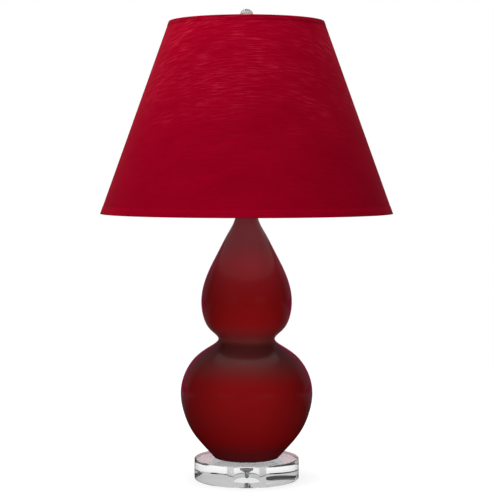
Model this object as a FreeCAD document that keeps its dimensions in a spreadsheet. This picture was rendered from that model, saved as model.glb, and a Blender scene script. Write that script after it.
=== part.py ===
import FreeCAD, Part
import math
import os
import Sketcher
from FreeCAD import Placement, Rotation, Vector

# Double gourd table lamp: clear acrylic base, hollow ceramic gourd, turn-switch socket,
# harp and a fabric empire shade.
#
# Millimetres. The origin is the centre of the base's underside, +Z is up, -Y is the front,
# and +X is to the right. Every piece is drawn from its own seat and lifted to its level.

doc = FreeCAD.newDocument("double_gourd_lamp")
sheet = doc.addObject("Spreadsheet::Sheet", "Sizes")

DRIVING_SIZES = [
    # clear base
    ("block_radius", 64.0, "base disc, outer radius"),
    ("block_height", 25.4, "base disc, thickness"),
    ("block_edge", 0.8, "base disc, edge chamfer"),
    ("recess_radius", 16.0, "recess under the base, radius"),
    ("web_thickness", 7.6, "acrylic left above the recess"),
    ("cord_hole_radius", 6.35, "radial cord hole, radius"),
    ("cord_hole_height", 12.7, "radial cord hole, height of its axis"),
    ("cord_hole_turn", 4.5, "radial cord hole, degrees from straight back"),
    # threaded pipe and what it clamps
    ("pipe_radius", 5.1, "lamp pipe, outer radius"),
    ("pipe_bore", 3.4, "lamp pipe, bore radius"),
    ("pipe_stub", 1.4, "pipe end standing out of the lower nut"),
    ("pipe_slack", 0.3, "clearance of the pipe in plain holes"),
    ("pipe_in_socket", 5.0, "pipe length screwed into the socket cap"),
    ("washer_radius", 7.2, "lower washer, outer radius"),
    ("washer_thickness", 1.4, "lower washer, thickness"),
    ("nut_flats", 14.3, "lower nut, across flats"),
    ("nut_thickness", 4.0, "lower nut, thickness"),
    ("gasket_thickness", 0.8, "ring between ceramic and base"),
    ("gasket_margin", 2.0, "gasket edge back from the foot ring's edges"),
    # ceramic gourd
    ("foot_radius", 39.4, "foot, radius"),
    ("foot_ring_width", 9.0, "foot ring, radial width"),
    ("foot_ring_height", 2.0, "foot ring, height under the floor"),
    ("heel_radius", 51.4, "profile, just above the foot"),
    ("heel_step", 13.2, "heel over the foot, height"),
    ("hip_radius", 67.1, "profile, under the lower bulb"),
    ("hip_step", 19.8, "hip over the heel, height"),
    ("flank_radius", 77.6, "profile, side of the lower bulb"),
    ("flank_step", 24.8, "flank over the hip, height"),
    ("belly_radius", 80.75, "widest point of the lower bulb"),
    ("belly_step", 20.0, "belly over the flank, height"),
    ("shoulder_radius", 77.2, "profile, over the belly"),
    ("shoulder_step", 21.5, "shoulder over the belly, height"),
    ("slope_radius", 63.6, "profile, lower bulb turning in"),
    ("slope_step", 22.5, "slope over the shoulder, height"),
    ("dip_radius", 43.9, "profile, just under the waist"),
    ("dip_step", 14.7, "dip over the slope, height"),
    ("waist_radius", 34.5, "narrowest point between the bulbs"),
    ("waist_step", 8.8, "waist over the dip, height"),
    ("rise_radius", 43.7, "profile, just over the waist"),
    ("rise_step", 10.9, "rise over the waist, height"),
    ("side_radius", 52.3, "profile, side of the upper bulb"),
    ("side_step", 14.6, "side over the rise, height"),
    ("crown_radius", 55.4, "widest point of the upper bulb"),
    ("crown_step", 19.5, "crown over the side, height"),
    ("cheek_radius", 51.5, "profile, over the crown"),
    ("cheek_step", 24.8, "cheek over the crown, height"),
    ("throat_radius", 33.6, "profile, drawing in to the neck"),
    ("throat_step", 39.1, "throat over the cheek, height"),
    ("gullet_radius", 22.8, "profile, between throat and neck"),
    ("gullet_step", 20.6, "gullet over the throat, height"),
    ("neck_radius", 15.3, "profile, neck under the shade"),
    ("neck_step", 14.2, "neck over the gullet, height"),
    ("collar_radius", 12.6, "neck rim, outer radius"),
    ("collar_step", 14.8, "neck rim over the neck, height"),
    ("foot_lean", 0.88, "outward lean of the profile at the foot, per unit of height"),
    ("ceramic_wall", 4.6, "wall of the bulbs"),
    ("collar_wall", 3.4, "wall at the neck rim"),
    ("ceramic_floor", 6.5, "floor over the foot recess"),
    # brassware on the neck
    ("cap_radius", 16.0, "vase cap, outer radius"),
    ("cap_thickness", 1.1, "vase cap, sheet"),
    ("cap_skirt", 4.0, "vase cap, drop of the skirt below the rim"),
    ("check_ring_radius", 10.5, "check ring, outer radius"),
    ("check_ring_height", 2.4, "check ring, height"),
    ("check_ring_curve", 1.1, "curve of the check ring's rim, share of half its height"),
    ("spacer_radius", 7.6, "neck spacer, outer radius"),
    ("spacer_height", 6.8, "neck spacer, height"),
    ("spacer_waist", 6.1, "neck spacer, radius of its waist"),
    # harp and its saddle
    ("saddle_thickness", 1.5, "saddle strip, thickness"),
    ("saddle_width", 12.0, "saddle strip, width"),
    ("saddle_reach", 29.0, "saddle prongs and harp legs, distance from the axis"),
    ("prong_height", 12.0, "saddle prong, height over the strip"),
    ("lap_length", 5.0, "half lap of prong and harp leg"),
    ("harp_wire", 1.6, "harp wire, radius"),
    ("harp_height", 203.0, "harp, saddle to the underside of its top pad"),
    ("harp_width", 57.0, "harp bow, largest distance from the axis"),
    ("harp_leg", 30.0, "straight length at the foot of each leg"),
    ("bow_level", 0.42, "widest point of the bow, share of the harp's height"),
    ("bow_shoulder_level", 0.78, "shoulder of the bow, share of the harp's height"),
    ("bow_shoulder_share", 0.98, "shoulder of the bow, share of its width"),
    ("bow_top_share", 0.55, "corner at the top of the bow, share of its width"),
    ("bend_share", 0.45, "bend of a wire, share of the shorter straight beside it"),
    ("harp_pad_length", 16.0, "flattened pad at the top of the harp"),
    ("harp_pad_width", 10.0, "pad, width"),
    ("harp_pad_thickness", 2.4, "pad, thickness"),
    ("ferrule_radius", 3.0, "locking ferrule, outer radius"),
    ("ferrule_length", 13.0, "locking ferrule, length"),
    ("run_fit", 0.08, "radial clearance of running fits"),
    ("face_fit", 0.05, "clearance between faces that turn on each other"),
    ("post_shank", 2.5, "swivel post, radius in the pad"),
    ("post_flange", 6.0, "swivel post, flange radius"),
    ("post_flange_height", 1.5, "swivel post, flange height"),
    ("post_rivet", 4.2, "swivel post, rivet radius"),
    ("post_rivet_height", 1.4, "swivel post, rivet height"),
    ("stud_radius", 3.15, "threaded stud, radius"),
    ("stud_length", 11.0, "threaded stud, length over the flange"),
    ("stud_tip", 0.6, "threaded stud, chamfer of its end"),
    # socket
    ("socket_cap_radius", 17.3, "socket cap, outer radius"),
    ("socket_cap_height", 17.0, "socket cap, height"),
    ("cap_hub_radius", 8.2, "socket cap hub, radius"),
    ("cap_hub_height", 5.6, "socket cap hub, height"),
    ("socket_sheet", 0.6, "socket cap and shell, sheet"),
    ("dome_share", 0.7, "socket cap dome, rise as a share of its reach"),
    ("dome_curve", 13.0, "socket cap dome, radius of its curve"),
    ("set_screw_radius", 1.2, "set screw of the socket cap, radius"),
    ("set_screw_length", 1.8, "set screw of the socket cap, length"),
    ("shell_height", 45.0, "socket shell, height"),
    ("stem_slack", 0.24, "clearance of the switch stem in the socket's holes"),
    ("liner_wall", 0.9, "insulating sleeve, wall"),
    ("nest_gap", 0.1, "gap between nested socket pieces"),
    ("insulator_radius", 14.9, "socket insulator, radius"),
    ("insulator_height", 17.5, "socket insulator, height"),
    ("insulator_seat", 14.5, "insulator's underside over the socket cap's base"),
    ("insulator_dish", 1.75, "dish in the insulator's top, depth"),
    ("insulator_web", 1.75, "web between the dish and the wires' well"),
    ("thread_pitch", 3.63, "lamp base thread, pitch"),
    ("thread_turns", 6, "lamp base thread, crests"),
    ("thread_depth", 0.8, "lamp base thread, crest to root"),
    ("thread_gap", 0.3, "clearance of the bulb in the screw shell"),
    ("bulb_thread_radius", 13.1, "bulb's screw base, crest radius"),
    ("screw_shell_radius", 14.6, "screw shell, outer radius"),
    ("contact_rise", 3.2, "centre contact, height over the insulator"),
    ("contact_strip", 0.8, "centre contact, thickness of its foot"),
    ("contact_radius", 6.5, "centre contact, radius of its foot"),
    ("contact_tip_radius", 3.3, "centre contact, radius of its tip"),
    ("terminal_radius", 2.6, "terminal screw, head radius"),
    ("terminal_depth", 3.4, "terminal screw, head length"),
    ("terminal_slot", 4.0, "slot in the insulator's side, depth"),
    ("terminal_slot_width", 8.0, "slot in the insulator's side, width"),
    ("terminal_slot_room", 1.3, "slot over the terminal screw's head"),
    ("lead_radius", 1.05, "inner wire, radius"),
    ("lead_start", 1.5, "height over the pipe's end where the cord splits"),
    ("lead_drop", 2.7, "inner wires, run under the insulator"),
    # switch
    ("switch_level", 21.5, "switch stem's axis over the socket cap's base"),
    ("stem_radius", 2.0, "switch stem, radius"),
    ("stem_depth", 8.0, "distance of the stem's inner end from the axis"),
    ("knob_radius", 6.0, "switch knob, radius"),
    ("knob_length", 15.0, "switch knob, length"),
    ("knob_gap", 2.4, "gap between socket shell and knob"),
    ("knob_nose", 4.8, "switch knob, radius of its inner end"),
    ("knob_taper", 1.8, "switch knob, length of its inner taper"),
    ("knob_edge", 0.9, "switch knob, chamfer of its outer end"),
    ("knob_end_wall", 2.7, "switch knob, wall at its outer end"),
    ("knob_flute", 0.9, "radius of the knob's flutes"),
    ("flute_offset", 0.3, "centres of the flutes outside the knob's face"),
    ("knob_flutes", 14, "number of flutes round the knob"),
    # bulb
    ("bulb_radius", 30.0, "bulb, radius of its round end"),
    ("bulb_neck_curve", 46.0, "bulb, hollow curve under the round end"),
    ("bulb_neck_height", 4.0, "bulb, straight neck over the screw base"),
    ("glass_wall", 0.9, "bulb, glass"),
    ("bulb_tip_height", 1.6, "bulb, contact button"),
    ("bulb_insulator_height", 3.0, "bulb, glass insulator under the thread"),
    ("bulb_insulator_radius", 6.5, "bulb, radius of the glass insulator at the button"),
    ("bulb_cap_wall", 1.2, "bulb, sheet of the screw cap at the thread's middle"),
    ("button_radius", 4.4, "bulb, contact button's radius at the insulator"),
    ("button_face", 3.3, "bulb, contact button's radius at its face"),
    ("mount_foot", 1.8, "bulb, glass mount, height of its foot"),
    ("mount_radius", 3.3, "bulb, glass mount, radius in the neck"),
    ("mount_tip", 2.6, "bulb, glass mount, radius at its top"),
    ("filament_drop", 10.0, "top of the glass mount under the round end's centre"),
    ("filament_reach", 10.0, "filament, half of its width"),
    ("filament_crown", 3.0, "filament, rise of its middle"),
    ("filament_legs", 1.9, "filament wires at the mount, distance from the axis"),
    ("filament_leg_rise", 3.6, "filament wires, straight length at the mount"),
    ("filament_wire", 0.3, "filament wire, radius"),
    # shade
    ("shade_bottom_radius", 177.8, "shade fabric, outer radius at the bottom rim"),
    ("shade_top_radius", 94.2, "shade fabric, outer radius at the top rim"),
    ("fabric_thickness", 0.6, "shade fabric"),
    ("liner_thickness", 0.6, "shade liner"),
    ("ring_wire", 1.6, "shade rings and spider arms, wire radius"),
    ("shade_height", 232.0, "shade, bottom rim to top rim"),
    ("spider_drop", 8.4, "top ring's centre over the hub's seat"),
    ("hub_radius", 12.5, "spider hub, radius"),
    ("hub_thickness", 1.6, "spider hub, thickness"),
    ("arm_count", 3, "number of spider arms"),
    ("hub_slack", 0.25, "clearance of the hub on the stud"),
    ("arm_bend", 22.0, "spider arm, radial length of its rising end"),
    ("trim_thickness", 0.4, "folded hem, cloth"),
    ("trim_width", 9.0, "folded hem, outer width"),
    ("trim_inner_width", 6.0, "folded hem, inner width at the bottom"),
    ("top_trim_inner_width", 3.2, "folded hem, inner width at the top"),
    ("hem_slack", 0.64, "room round the ring wire in its hem"),
    ("ring_gap", 0.16, "gap between the liner and the ring wires"),
    ("seam_width", 12.0, "back seam, overlap"),
    ("seam_gap", 1.0, "ends of the back seam off the hems"),
    # finial
    ("finial_ball_radius", 8.3, "finial ball, radius"),
    ("finial_base_radius", 6.2, "finial base, radius"),
    ("finial_base_height", 7.6, "finial base, height"),
    ("finial_neck_radius", 3.9, "finial neck, radius"),
    ("finial_bore_depth", 12.3, "finial, threaded bore depth"),
    ("finial_rim_height", 1.9, "finial base, height of its rim"),
    ("finial_cove_height", 3.8, "finial base, height of its cove"),
    ("finial_shelf", 0.3, "step in the cove, share of the cove's height from either end"),
    # supply cord, coil and plug
    ("cord_radius", 2.5, "supply cord, radius"),
    ("coil_offset", 206.0, "coil, distance of its centre behind the axis"),
    ("coil_radius", 28.5, "coil, radius at the middle of its turns"),
    ("coil_half_width", 7.6, "coil, half of its radial width"),
    ("coil_height", 15.0, "coil, height"),
    ("coil_edge", 2.0, "coil, rounding of its edges"),
    ("cut_spare", 1.0, "reach of a cutting box beyond what it cuts"),
    ("tie_width", 9.0, "coil tie, width"),
    ("tie_thickness", 0.8, "coil tie, thickness"),
    ("plug_length", 24.0, "plug body, length"),
    ("plug_width", 24.0, "plug body, width"),
    ("plug_height", 15.0, "plug body, height"),
    ("relief_length", 10.0, "plug strain relief, length"),
    ("relief_radius", 4.2, "plug strain relief, radius at the plug"),
    ("blade_length", 16.5, "plug blade, length"),
    ("blade_spacing", 12.7, "plug blades, centre distance"),
    ("blade_height", 6.6, "plug blade, height"),
    ("blade_thickness", 1.5, "plug blade, thickness"),
    ("blade_hole_reach", 11.9, "plug blade, hole's distance from the plug's face"),
    ("blade_hole_radius", 1.65, "plug blade, radius of its hole"),
]


class Length:
    """A length that is known as a formula on the sheet and as a number."""

    def __init__(self, formula, value):
        self.formula = formula
        self.value = value

    def join(self, sign, other, value):
        text = other.formula if isinstance(other, Length) else repr(float(other))
        return Length("(" + self.formula + " " + sign + " " + text + ")", value)

    def __add__(self, other):
        return self.join("+", other, self.value + float(other))

    def __sub__(self, other):
        return self.join("-", other, self.value - float(other))

    def __mul__(self, other):
        return self.join("*", other, self.value * float(other))

    def __truediv__(self, other):
        return self.join("/", other, self.value / float(other))

    def __float__(self):
        return float(self.value)

    def root(self):
        return Length("sqrt(" + self.formula + ")", math.sqrt(self.value))


class Sizes:
    """The driving sizes, by name."""


size = Sizes()
for row, (alias, value, meaning) in enumerate(DRIVING_SIZES, start=1):
    sheet.set("A%d" % row, meaning)
    sheet.set("B%d" % row, str(value))
    sheet.setAlias("B%d" % row, alias)
doc.recompute()
for alias, value, meaning in DRIVING_SIZES:
    setattr(size, alias, Length("Sizes." + alias, float(sheet.get(alias))))

ZERO = size.block_height - size.block_height
TINY = 1e-9
NEAR = 0.01


def gourd_stations():
    """Radius and height of the outer profile's points, foot to neck rim."""
    stations = [(size.foot_radius, ZERO)]
    height = ZERO
    for radius, step in (
            (size.heel_radius, size.heel_step),
            (size.hip_radius, size.hip_step),
            (size.flank_radius, size.flank_step),
            (size.belly_radius, size.belly_step),
            (size.shoulder_radius, size.shoulder_step),
            (size.slope_radius, size.slope_step),
            (size.dip_radius, size.dip_step),
            (size.waist_radius, size.waist_step),
            (size.rise_radius, size.rise_step),
            (size.side_radius, size.side_step),
            (size.crown_radius, size.crown_step),
            (size.cheek_radius, size.cheek_step),
            (size.throat_radius, size.throat_step),
            (size.gullet_radius, size.gullet_step),
            (size.neck_radius, size.neck_step),
            (size.collar_radius, size.collar_step)):
        height = height + step
        stations.append((radius, height))
    return stations


# Levels, from the table up.
foot_level = size.block_height + size.gasket_thickness
gourd_height = gourd_stations()[-1][1]
neck_level = foot_level + gourd_height
check_ring_level = neck_level + size.cap_thickness
spacer_level = check_ring_level + size.check_ring_height
saddle_level = spacer_level + size.spacer_height
socket_level = saddle_level + size.saddle_thickness
lap_level = socket_level + size.prong_height
pad_level = saddle_level + size.harp_height
post_level = pad_level + size.harp_pad_thickness + size.face_fit
hub_level = post_level + size.post_flange_height
finial_level = hub_level + size.hub_thickness
shade_top_level = hub_level + size.spider_drop + size.ring_wire
shade_level = shade_top_level - size.shade_height
recess_ceiling = size.block_height - size.web_thickness
washer_level = recess_ceiling - size.washer_thickness
nut_level = washer_level - size.nut_thickness
pipe_level = nut_level - size.pipe_stub
insulator_level = socket_level + size.insulator_seat
contact_level = insulator_level + size.insulator_height
bulb_level = contact_level + size.contact_rise + size.thread_gap
thread_level = bulb_level + size.bulb_tip_height + size.bulb_insulator_height
dome_rise = (size.socket_cap_radius - size.cap_hub_radius) * size.dome_share
shell_seat = size.cap_hub_height + dome_rise
terminal_level = insulator_level + size.insulator_height / 2
knob_level = socket_level + size.switch_level
knob_seat = size.socket_cap_radius + size.knob_gap
plain_hole = size.pipe_radius + size.pipe_slack
seat_radius = size.pipe_radius + size.nest_gap

parts = []


def bind(thing, name, length):
    """Tie one property of an object to the sheet."""
    thing.setExpression(name, length.formula)


def lift(thing, level):
    """Stand an object on a level."""
    thing.Placement = Placement(Vector(0, 0, float(level)), Rotation())
    bind(thing, "Placement.Base.z", level)


def keep(thing, label):
    """Name an object and count it as a sub-part."""
    thing.Label = label
    parts.append(thing)
    return thing


def origin_plane(body, role):
    """One of a body's own origin planes."""
    for feature in body.Origin.OriginFeatures:
        if feature.Role == role:
            return feature
    raise ValueError("no plane " + role)


def new_sketch(body, role, name):
    """An empty sketch on an origin plane of its body."""
    sketch = body.newObject("Sketcher::SketchObject", name)
    sketch.AttachmentSupport = [(origin_plane(body, role), "")]
    sketch.MapMode = "FlatFace"
    return sketch


def arc_between(start, end, radius, side):
    """Arc edge between two points; its centre is left (+1) or right (-1) of the way."""
    chord = end - start
    half = chord.Length / 2
    rise = math.sqrt(max(radius * radius - half * half, 0.0))
    left = Vector(-chord.y, chord.x, 0).normalize()
    centre = (start + end) / 2 + left * rise * side
    first = start if side > 0 else end
    last = end if side > 0 else start
    first_angle = math.atan2(first.y - centre.y, first.x - centre.x)
    last_angle = math.atan2(last.y - centre.y, last.x - centre.x)
    circle = Part.Circle(centre, Vector(0, 0, 1), radius)
    return Part.ArcOfCircle(circle, first_angle, last_angle)


def pin_point(sketch, edge, end, across, up):
    """Fix one end of an edge at sheet coordinates."""
    for kind, axis, length in (("DistanceX", -2, across), ("DistanceY", -1, up)):
        if abs(float(length)) < TINY:
            sketch.addConstraint(Sketcher.Constraint("PointOnObject", edge, end, axis))
        else:
            index = sketch.addConstraint(Sketcher.Constraint(kind, edge, end, float(length)))
            sketch.setExpression("Constraints[%d]" % index, length.formula)


def draw_outline(sketch, corners):
    """Closed outline. A corner is (across, up), or (across, up, radius, side) before an arc."""
    points = [Vector(float(corner[0]), float(corner[1]), 0) for corner in corners]
    starts = []
    ends = []
    for number, corner in enumerate(corners):
        start = points[number]
        end = points[(number + 1) % len(points)]
        if len(corner) == 4:
            edge = sketch.addGeometry(arc_between(start, end, float(corner[2]), corner[3]), False)
            index = sketch.addConstraint(Sketcher.Constraint("Radius", edge, float(corner[2])))
            sketch.setExpression("Constraints[%d]" % index, corner[2].formula)
            forward = corner[3] > 0
        else:
            edge = sketch.addGeometry(Part.LineSegment(start, end), False)
            forward = True
        starts.append((edge, 1 if forward else 2))
        ends.append((edge, 2 if forward else 1))
    for number, corner in enumerate(corners):
        pin_point(sketch, starts[number][0], starts[number][1], corner[0], corner[1])
        before = ends[number - 1]
        after = starts[number]
        sketch.addConstraint(Sketcher.Constraint("Coincident", before[0], before[1], after[0], after[1]))


def draw_circle(sketch, radius, across=None, up=None):
    """Circle of a sheet radius, about the sketch's origin or a sheet point."""
    place = Vector(float(across or 0), float(up or 0), 0)
    edge = sketch.addGeometry(Part.Circle(place, Vector(0, 0, 1), float(radius)), False)
    index = sketch.addConstraint(Sketcher.Constraint("Radius", edge, float(radius)))
    sketch.setExpression("Constraints[%d]" % index, radius.formula)
    if across is None:
        sketch.addConstraint(Sketcher.Constraint("Coincident", edge, 3, -1, 1))
    else:
        pin_point(sketch, edge, 3, across, up)


def revolve(body, name, corners, groove=False):
    """Turn an outline of (radius, height) corners about the body's upright axis."""
    sketch = new_sketch(body, "XZ_Plane", name + "_profile")
    draw_outline(sketch, corners)
    kind = "PartDesign::Groove" if groove else "PartDesign::Revolution"
    feature = body.newObject(kind, name)
    feature.Profile = sketch
    feature.ReferenceAxis = (sketch, ["V_Axis"])
    feature.Angle = 360
    return feature


def turned(label, corners, level=ZERO):
    """A turned piece: one revolved outline, standing on a level."""
    body = keep(doc.addObject("PartDesign::Body", label), label)
    revolve(body, label + "_turn", corners)
    lift(body, level)
    return body


def box_outline(inner, outer, low, high):
    """Corners of a plain ring's section."""
    return [(inner, low), (outer, low), (outer, high), (inner, high)]


def free_shape(label, shape):
    """A bent or free-form piece, kept as a plain shape."""
    thing = keep(doc.addObject("Part::Feature", label), label)
    thing.Shape = shape
    return thing


def rounded_path(points, radii=None):
    """Straight runs joined by tangent arcs; an arc takes its share of the shorter run unless given."""
    edges = []
    start = points[0]
    tightest = []
    for number in range(1, len(points) - 1):
        corner = points[number]
        before = corner - points[number - 1]
        after = points[number + 1] - corner
        turn = before.getAngle(after)
        radius = float(size.bend_share) * min(before.Length, after.Length) / math.tan(turn / 2)
        if radii:
            radius = radii[number - 1]
        reach = radius * math.tan(turn / 2)
        incoming = corner - Vector(before).normalize() * reach
        outgoing = corner + Vector(after).normalize() * reach
        inward = (Vector(after).normalize() - Vector(before).normalize()).normalize()
        centre = corner + inward * (radius / math.cos(turn / 2))
        middle = centre - inward * radius
        edges.append(Part.LineSegment(start, incoming).toShape())
        edges.append(Part.Arc(incoming, middle, outgoing).toShape())
        start = outgoing
        tightest.append(radius)
    edges.append(Part.LineSegment(start, points[-1]).toShape())
    return Part.Wire(edges), tightest


def round_bar(path, start, direction, radius):
    """Round bar along a path."""
    ring = Part.Wire([Part.Circle(start, direction, radius).toShape()])
    return path.makePipeShell([ring], True, False)


def bent_wire(points, radius, radii=None):
    """Round wire along rounded straight runs."""
    path = rounded_path(points, radii)[0]
    return round_bar(path, points[0], points[1] - points[0], radius)


def make_base_block():
    body = keep(doc.addObject("PartDesign::Body", "base_block"), "base_block")
    bore = plain_hole
    rim = size.block_radius - size.block_edge
    shoulder = size.block_height - size.block_edge
    revolve(body, "base_disc", [
        (size.recess_radius, ZERO),
        (rim, ZERO),
        (size.block_radius, size.block_edge),
        (size.block_radius, shoulder),
        (rim, size.block_height),
        (bore, size.block_height),
        (bore, recess_ceiling),
        (size.recess_radius, recess_ceiling),
    ])
    sketch = new_sketch(body, "XZ_Plane", "cord_hole_circle")
    turn = Rotation(Vector(0, 1, 0), float(size.cord_hole_turn))
    sketch.AttachmentOffset = Placement(Vector(0, 0, 0), turn)
    bind(sketch, "AttachmentOffset.Rotation.Angle", size.cord_hole_turn * -1)
    draw_circle(sketch, size.cord_hole_radius, ZERO, size.cord_hole_height)
    pocket = body.newObject("PartDesign::Pocket", "cord_hole")
    pocket.Profile = sketch
    pocket.Type = "Length"
    bind(pocket, "Length", size.block_radius + size.cord_hole_radius)
    return body


def make_foot_gasket():
    inner = size.foot_radius - size.foot_ring_width + size.gasket_margin
    outer = size.foot_radius - size.gasket_margin
    turned("foot_gasket", box_outline(inner, outer, ZERO, size.gasket_thickness), size.block_height)


def make_gourd_body():
    outer = Part.BSplineCurve()
    points = [Vector(float(radius), 0, float(height)) for radius, height in gourd_stations()]
    foot_way = Vector(float(size.foot_lean), 0, 1)
    outer.interpolate(Points=points, InitialTangent=foot_way, FinalTangent=Vector(0, 0, 1))
    wall = float(size.ceramic_wall)
    floor_top = float(size.foot_ring_height + size.ceramic_floor)
    inner_points = []
    for point in points[1:-1]:
        along = outer.tangent(outer.parameter(point))[0]
        inward = Vector(-along.z, 0, along.x)
        inner_points.append(point + inward * wall)
    inner_points = [point for point in inner_points if point.z > floor_top + wall]
    bore = float(size.collar_radius - size.collar_wall)
    top = float(gourd_height)
    inner_points[-1].x = max(inner_points[-1].x, bore)
    inner_points.append(Vector(bore, 0, top))
    inner = Part.BSplineCurve()
    inner.interpolate(Points=inner_points, FinalTangent=Vector(0, 0, 1))
    hole = float(plain_hole)
    ring = float(size.foot_radius - size.foot_ring_width)
    lift_under = float(size.foot_ring_height)
    floor_edge = Vector(inner_points[0].x - wall, 0, floor_top)
    corners = [
        inner_points[0],
        floor_edge,
        Vector(hole, 0, floor_top),
        Vector(hole, 0, lift_under),
        Vector(ring, 0, lift_under),
        Vector(ring, 0, 0),
        points[0],
    ]
    edges = [outer.toShape(), Part.LineSegment(points[-1], inner_points[-1]).toShape(), inner.toShape()]
    for start, end in zip(corners[:-1], corners[1:]):
        edges.append(Part.LineSegment(start, end).toShape())
    section = Part.Face(Part.Wire(Part.__sortEdges__(edges)))
    shape = section.revolve(Vector(0, 0, 0), Vector(0, 0, 1), 360)
    thing = free_shape("gourd_body", Part.Solid(shape))
    lift(thing, foot_level)


def make_washer_and_nut():
    turned("base_lock_washer",
           box_outline(seat_radius, size.washer_radius, ZERO, size.washer_thickness), washer_level)
    prism = doc.addObject("Part::Prism", "nut_prism")
    prism.Polygon = 6
    bind(prism, "Circumradius", size.nut_flats / 3 ** 0.5)
    bind(prism, "Height", size.nut_thickness)
    hole = doc.addObject("Part::Cylinder", "nut_hole")
    bind(hole, "Radius", seat_radius)
    bind(hole, "Height", size.nut_thickness)
    nut = doc.addObject("Part::Cut", "nut_cut")
    nut.Base = prism
    nut.Tool = hole
    keep(nut, "base_nut")
    lift(nut, nut_level)


def make_lamp_pipe():
    length = socket_level + size.pipe_in_socket - pipe_level
    turned("lamp_pipe", box_outline(size.pipe_bore, size.pipe_radius, ZERO, length), pipe_level)


def make_neck_brassware():
    skirt = size.cap_radius - size.cap_thickness
    drop = size.cap_skirt
    shoulder = size.collar_radius + size.pipe_slack
    turned("vase_cap", [
        (plain_hole, drop),
        (shoulder, drop),
        (skirt, ZERO),
        (size.cap_radius, ZERO),
        (size.collar_radius + size.cap_thickness, drop + size.cap_thickness),
        (plain_hole, drop + size.cap_thickness),
    ], neck_level - size.cap_skirt)
    bead = size.check_ring_height / 2
    rim = size.check_ring_radius - bead
    turned("check_ring", [
        (seat_radius, ZERO),
        (rim, ZERO, bead * size.check_ring_curve, 1),
        (rim, size.check_ring_height),
        (seat_radius, size.check_ring_height),
    ], check_ring_level)
    third = size.spacer_height / 3
    turned("neck_spacer", [
        (seat_radius, ZERO),
        (size.spacer_radius, ZERO),
        (size.spacer_waist, third),
        (size.spacer_waist, third * 2),
        (size.spacer_radius, size.spacer_height),
        (seat_radius, size.spacer_height),
    ], spacer_level)


def half_cylinder(radius, height, keep_inner, centre):
    """Half of an upright rod, split by a plane across X; the inner half is nearer the axis."""
    rod = Part.makeCylinder(radius, height, centre)
    side = -1 if keep_inner == (centre.x > 0) else 1
    gap = float(size.face_fit) / 2
    low = centre + Vector(gap if side > 0 else -gap - 2 * radius, -2 * radius, 0)
    return rod.common(Part.makeBox(2 * radius, 4 * radius, height, low))


def make_harp_saddle():
    wire = float(size.harp_wire)
    reach = float(size.saddle_reach)
    width = float(size.saddle_width)
    thickness = float(size.saddle_thickness)
    strip = Part.makeBox(2 * reach, width, thickness, Vector(-reach, -width / 2, 0))
    shape = strip.cut(Part.makeCylinder(float(seat_radius), thickness))
    for side in (-1, 1):
        foot = Vector(side * reach, 0, 0)
        pad = Part.makeCylinder(width / 2, thickness, foot)
        rod = Part.makeCylinder(wire, thickness + float(size.prong_height), foot)
        tip_level = foot + Vector(0, 0, thickness + float(size.prong_height))
        tip = half_cylinder(wire, float(size.lap_length), True, tip_level)
        shape = shape.fuse([pad, rod, tip])
    thing = free_shape("harp_saddle", shape.removeSplitter())
    lift(thing, saddle_level)


def harp_half(side):
    """Corner points of one side of the harp's bow, leg to top."""
    reach = float(size.saddle_reach) * side
    bow = float(size.harp_width) * side
    height = float(size.harp_height) - float(size.prong_height + size.saddle_thickness)
    return [
        Vector(reach, 0, float(size.lap_length)),
        Vector(reach, 0, float(size.harp_leg)),
        Vector(bow, 0, height * float(size.bow_level)),
        Vector(bow * float(size.bow_shoulder_share), 0, height * float(size.bow_shoulder_level)),
        Vector(bow * float(size.bow_top_share), 0, height + float(size.harp_pad_thickness) / 2),
    ]


def make_harp():
    left = harp_half(-1)
    right = harp_half(1)
    wire = float(size.harp_wire)
    shape = bent_wire(left + right[::-1], wire)
    for side in (-1, 1):
        foot = Vector(side * float(size.saddle_reach), 0, 0)
        shape = shape.fuse(half_cylinder(wire, float(size.lap_length) + wire, False, foot))
    pad_half = float(size.harp_pad_length) / 2
    pad_wide = float(size.harp_pad_width)
    pad_high = float(size.harp_pad_thickness)
    pad_low = float(pad_level - lap_level)
    pad = Part.makeBox(2 * pad_half, pad_wide, pad_high, Vector(-pad_half, -pad_wide / 2, pad_low))
    gap = Part.makeBox(2 * pad_half, 4 * wire, 4 * wire, Vector(-pad_half, -2 * wire, pad_low - wire))
    hole_radius = float(size.post_shank + size.run_fit)
    hole = Part.makeCylinder(hole_radius, 4 * pad_high, Vector(0, 0, pad_low - pad_high))
    shape = shape.cut(gap).fuse(pad).cut(hole)
    thing = free_shape("harp", shape.removeSplitter())
    lift(thing, lap_level)


def make_ferrules():
    bore = size.harp_wire + size.run_fit
    for side, label in ((-1, "harp_ferrule_left"), (1, "harp_ferrule_right")):
        body = turned(label, box_outline(bore, size.ferrule_radius, ZERO, size.ferrule_length),
                      lap_level - size.ferrule_length / 2 + size.lap_length / 2)
        body.Placement.Base.x = side * float(size.saddle_reach)
        bind(body, "Placement.Base.x", size.saddle_reach * side)


def make_harp_post():
    through = size.harp_pad_thickness + size.face_fit * 2
    flange = size.post_rivet_height + through
    stud = flange + size.post_flange_height
    tip = stud + size.stud_length
    turned("harp_post", [
        (ZERO, ZERO),
        (size.post_rivet, ZERO),
        (size.post_rivet, size.post_rivet_height),
        (size.post_shank, size.post_rivet_height),
        (size.post_shank, flange),
        (size.post_flange, flange),
        (size.post_flange, stud),
        (size.stud_radius, stud),
        (size.stud_radius, tip - size.stud_tip),
        (size.stud_radius - size.stud_tip, tip),
        (ZERO, tip),
    ], pad_level - size.face_fit - size.post_rivet_height)


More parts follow.
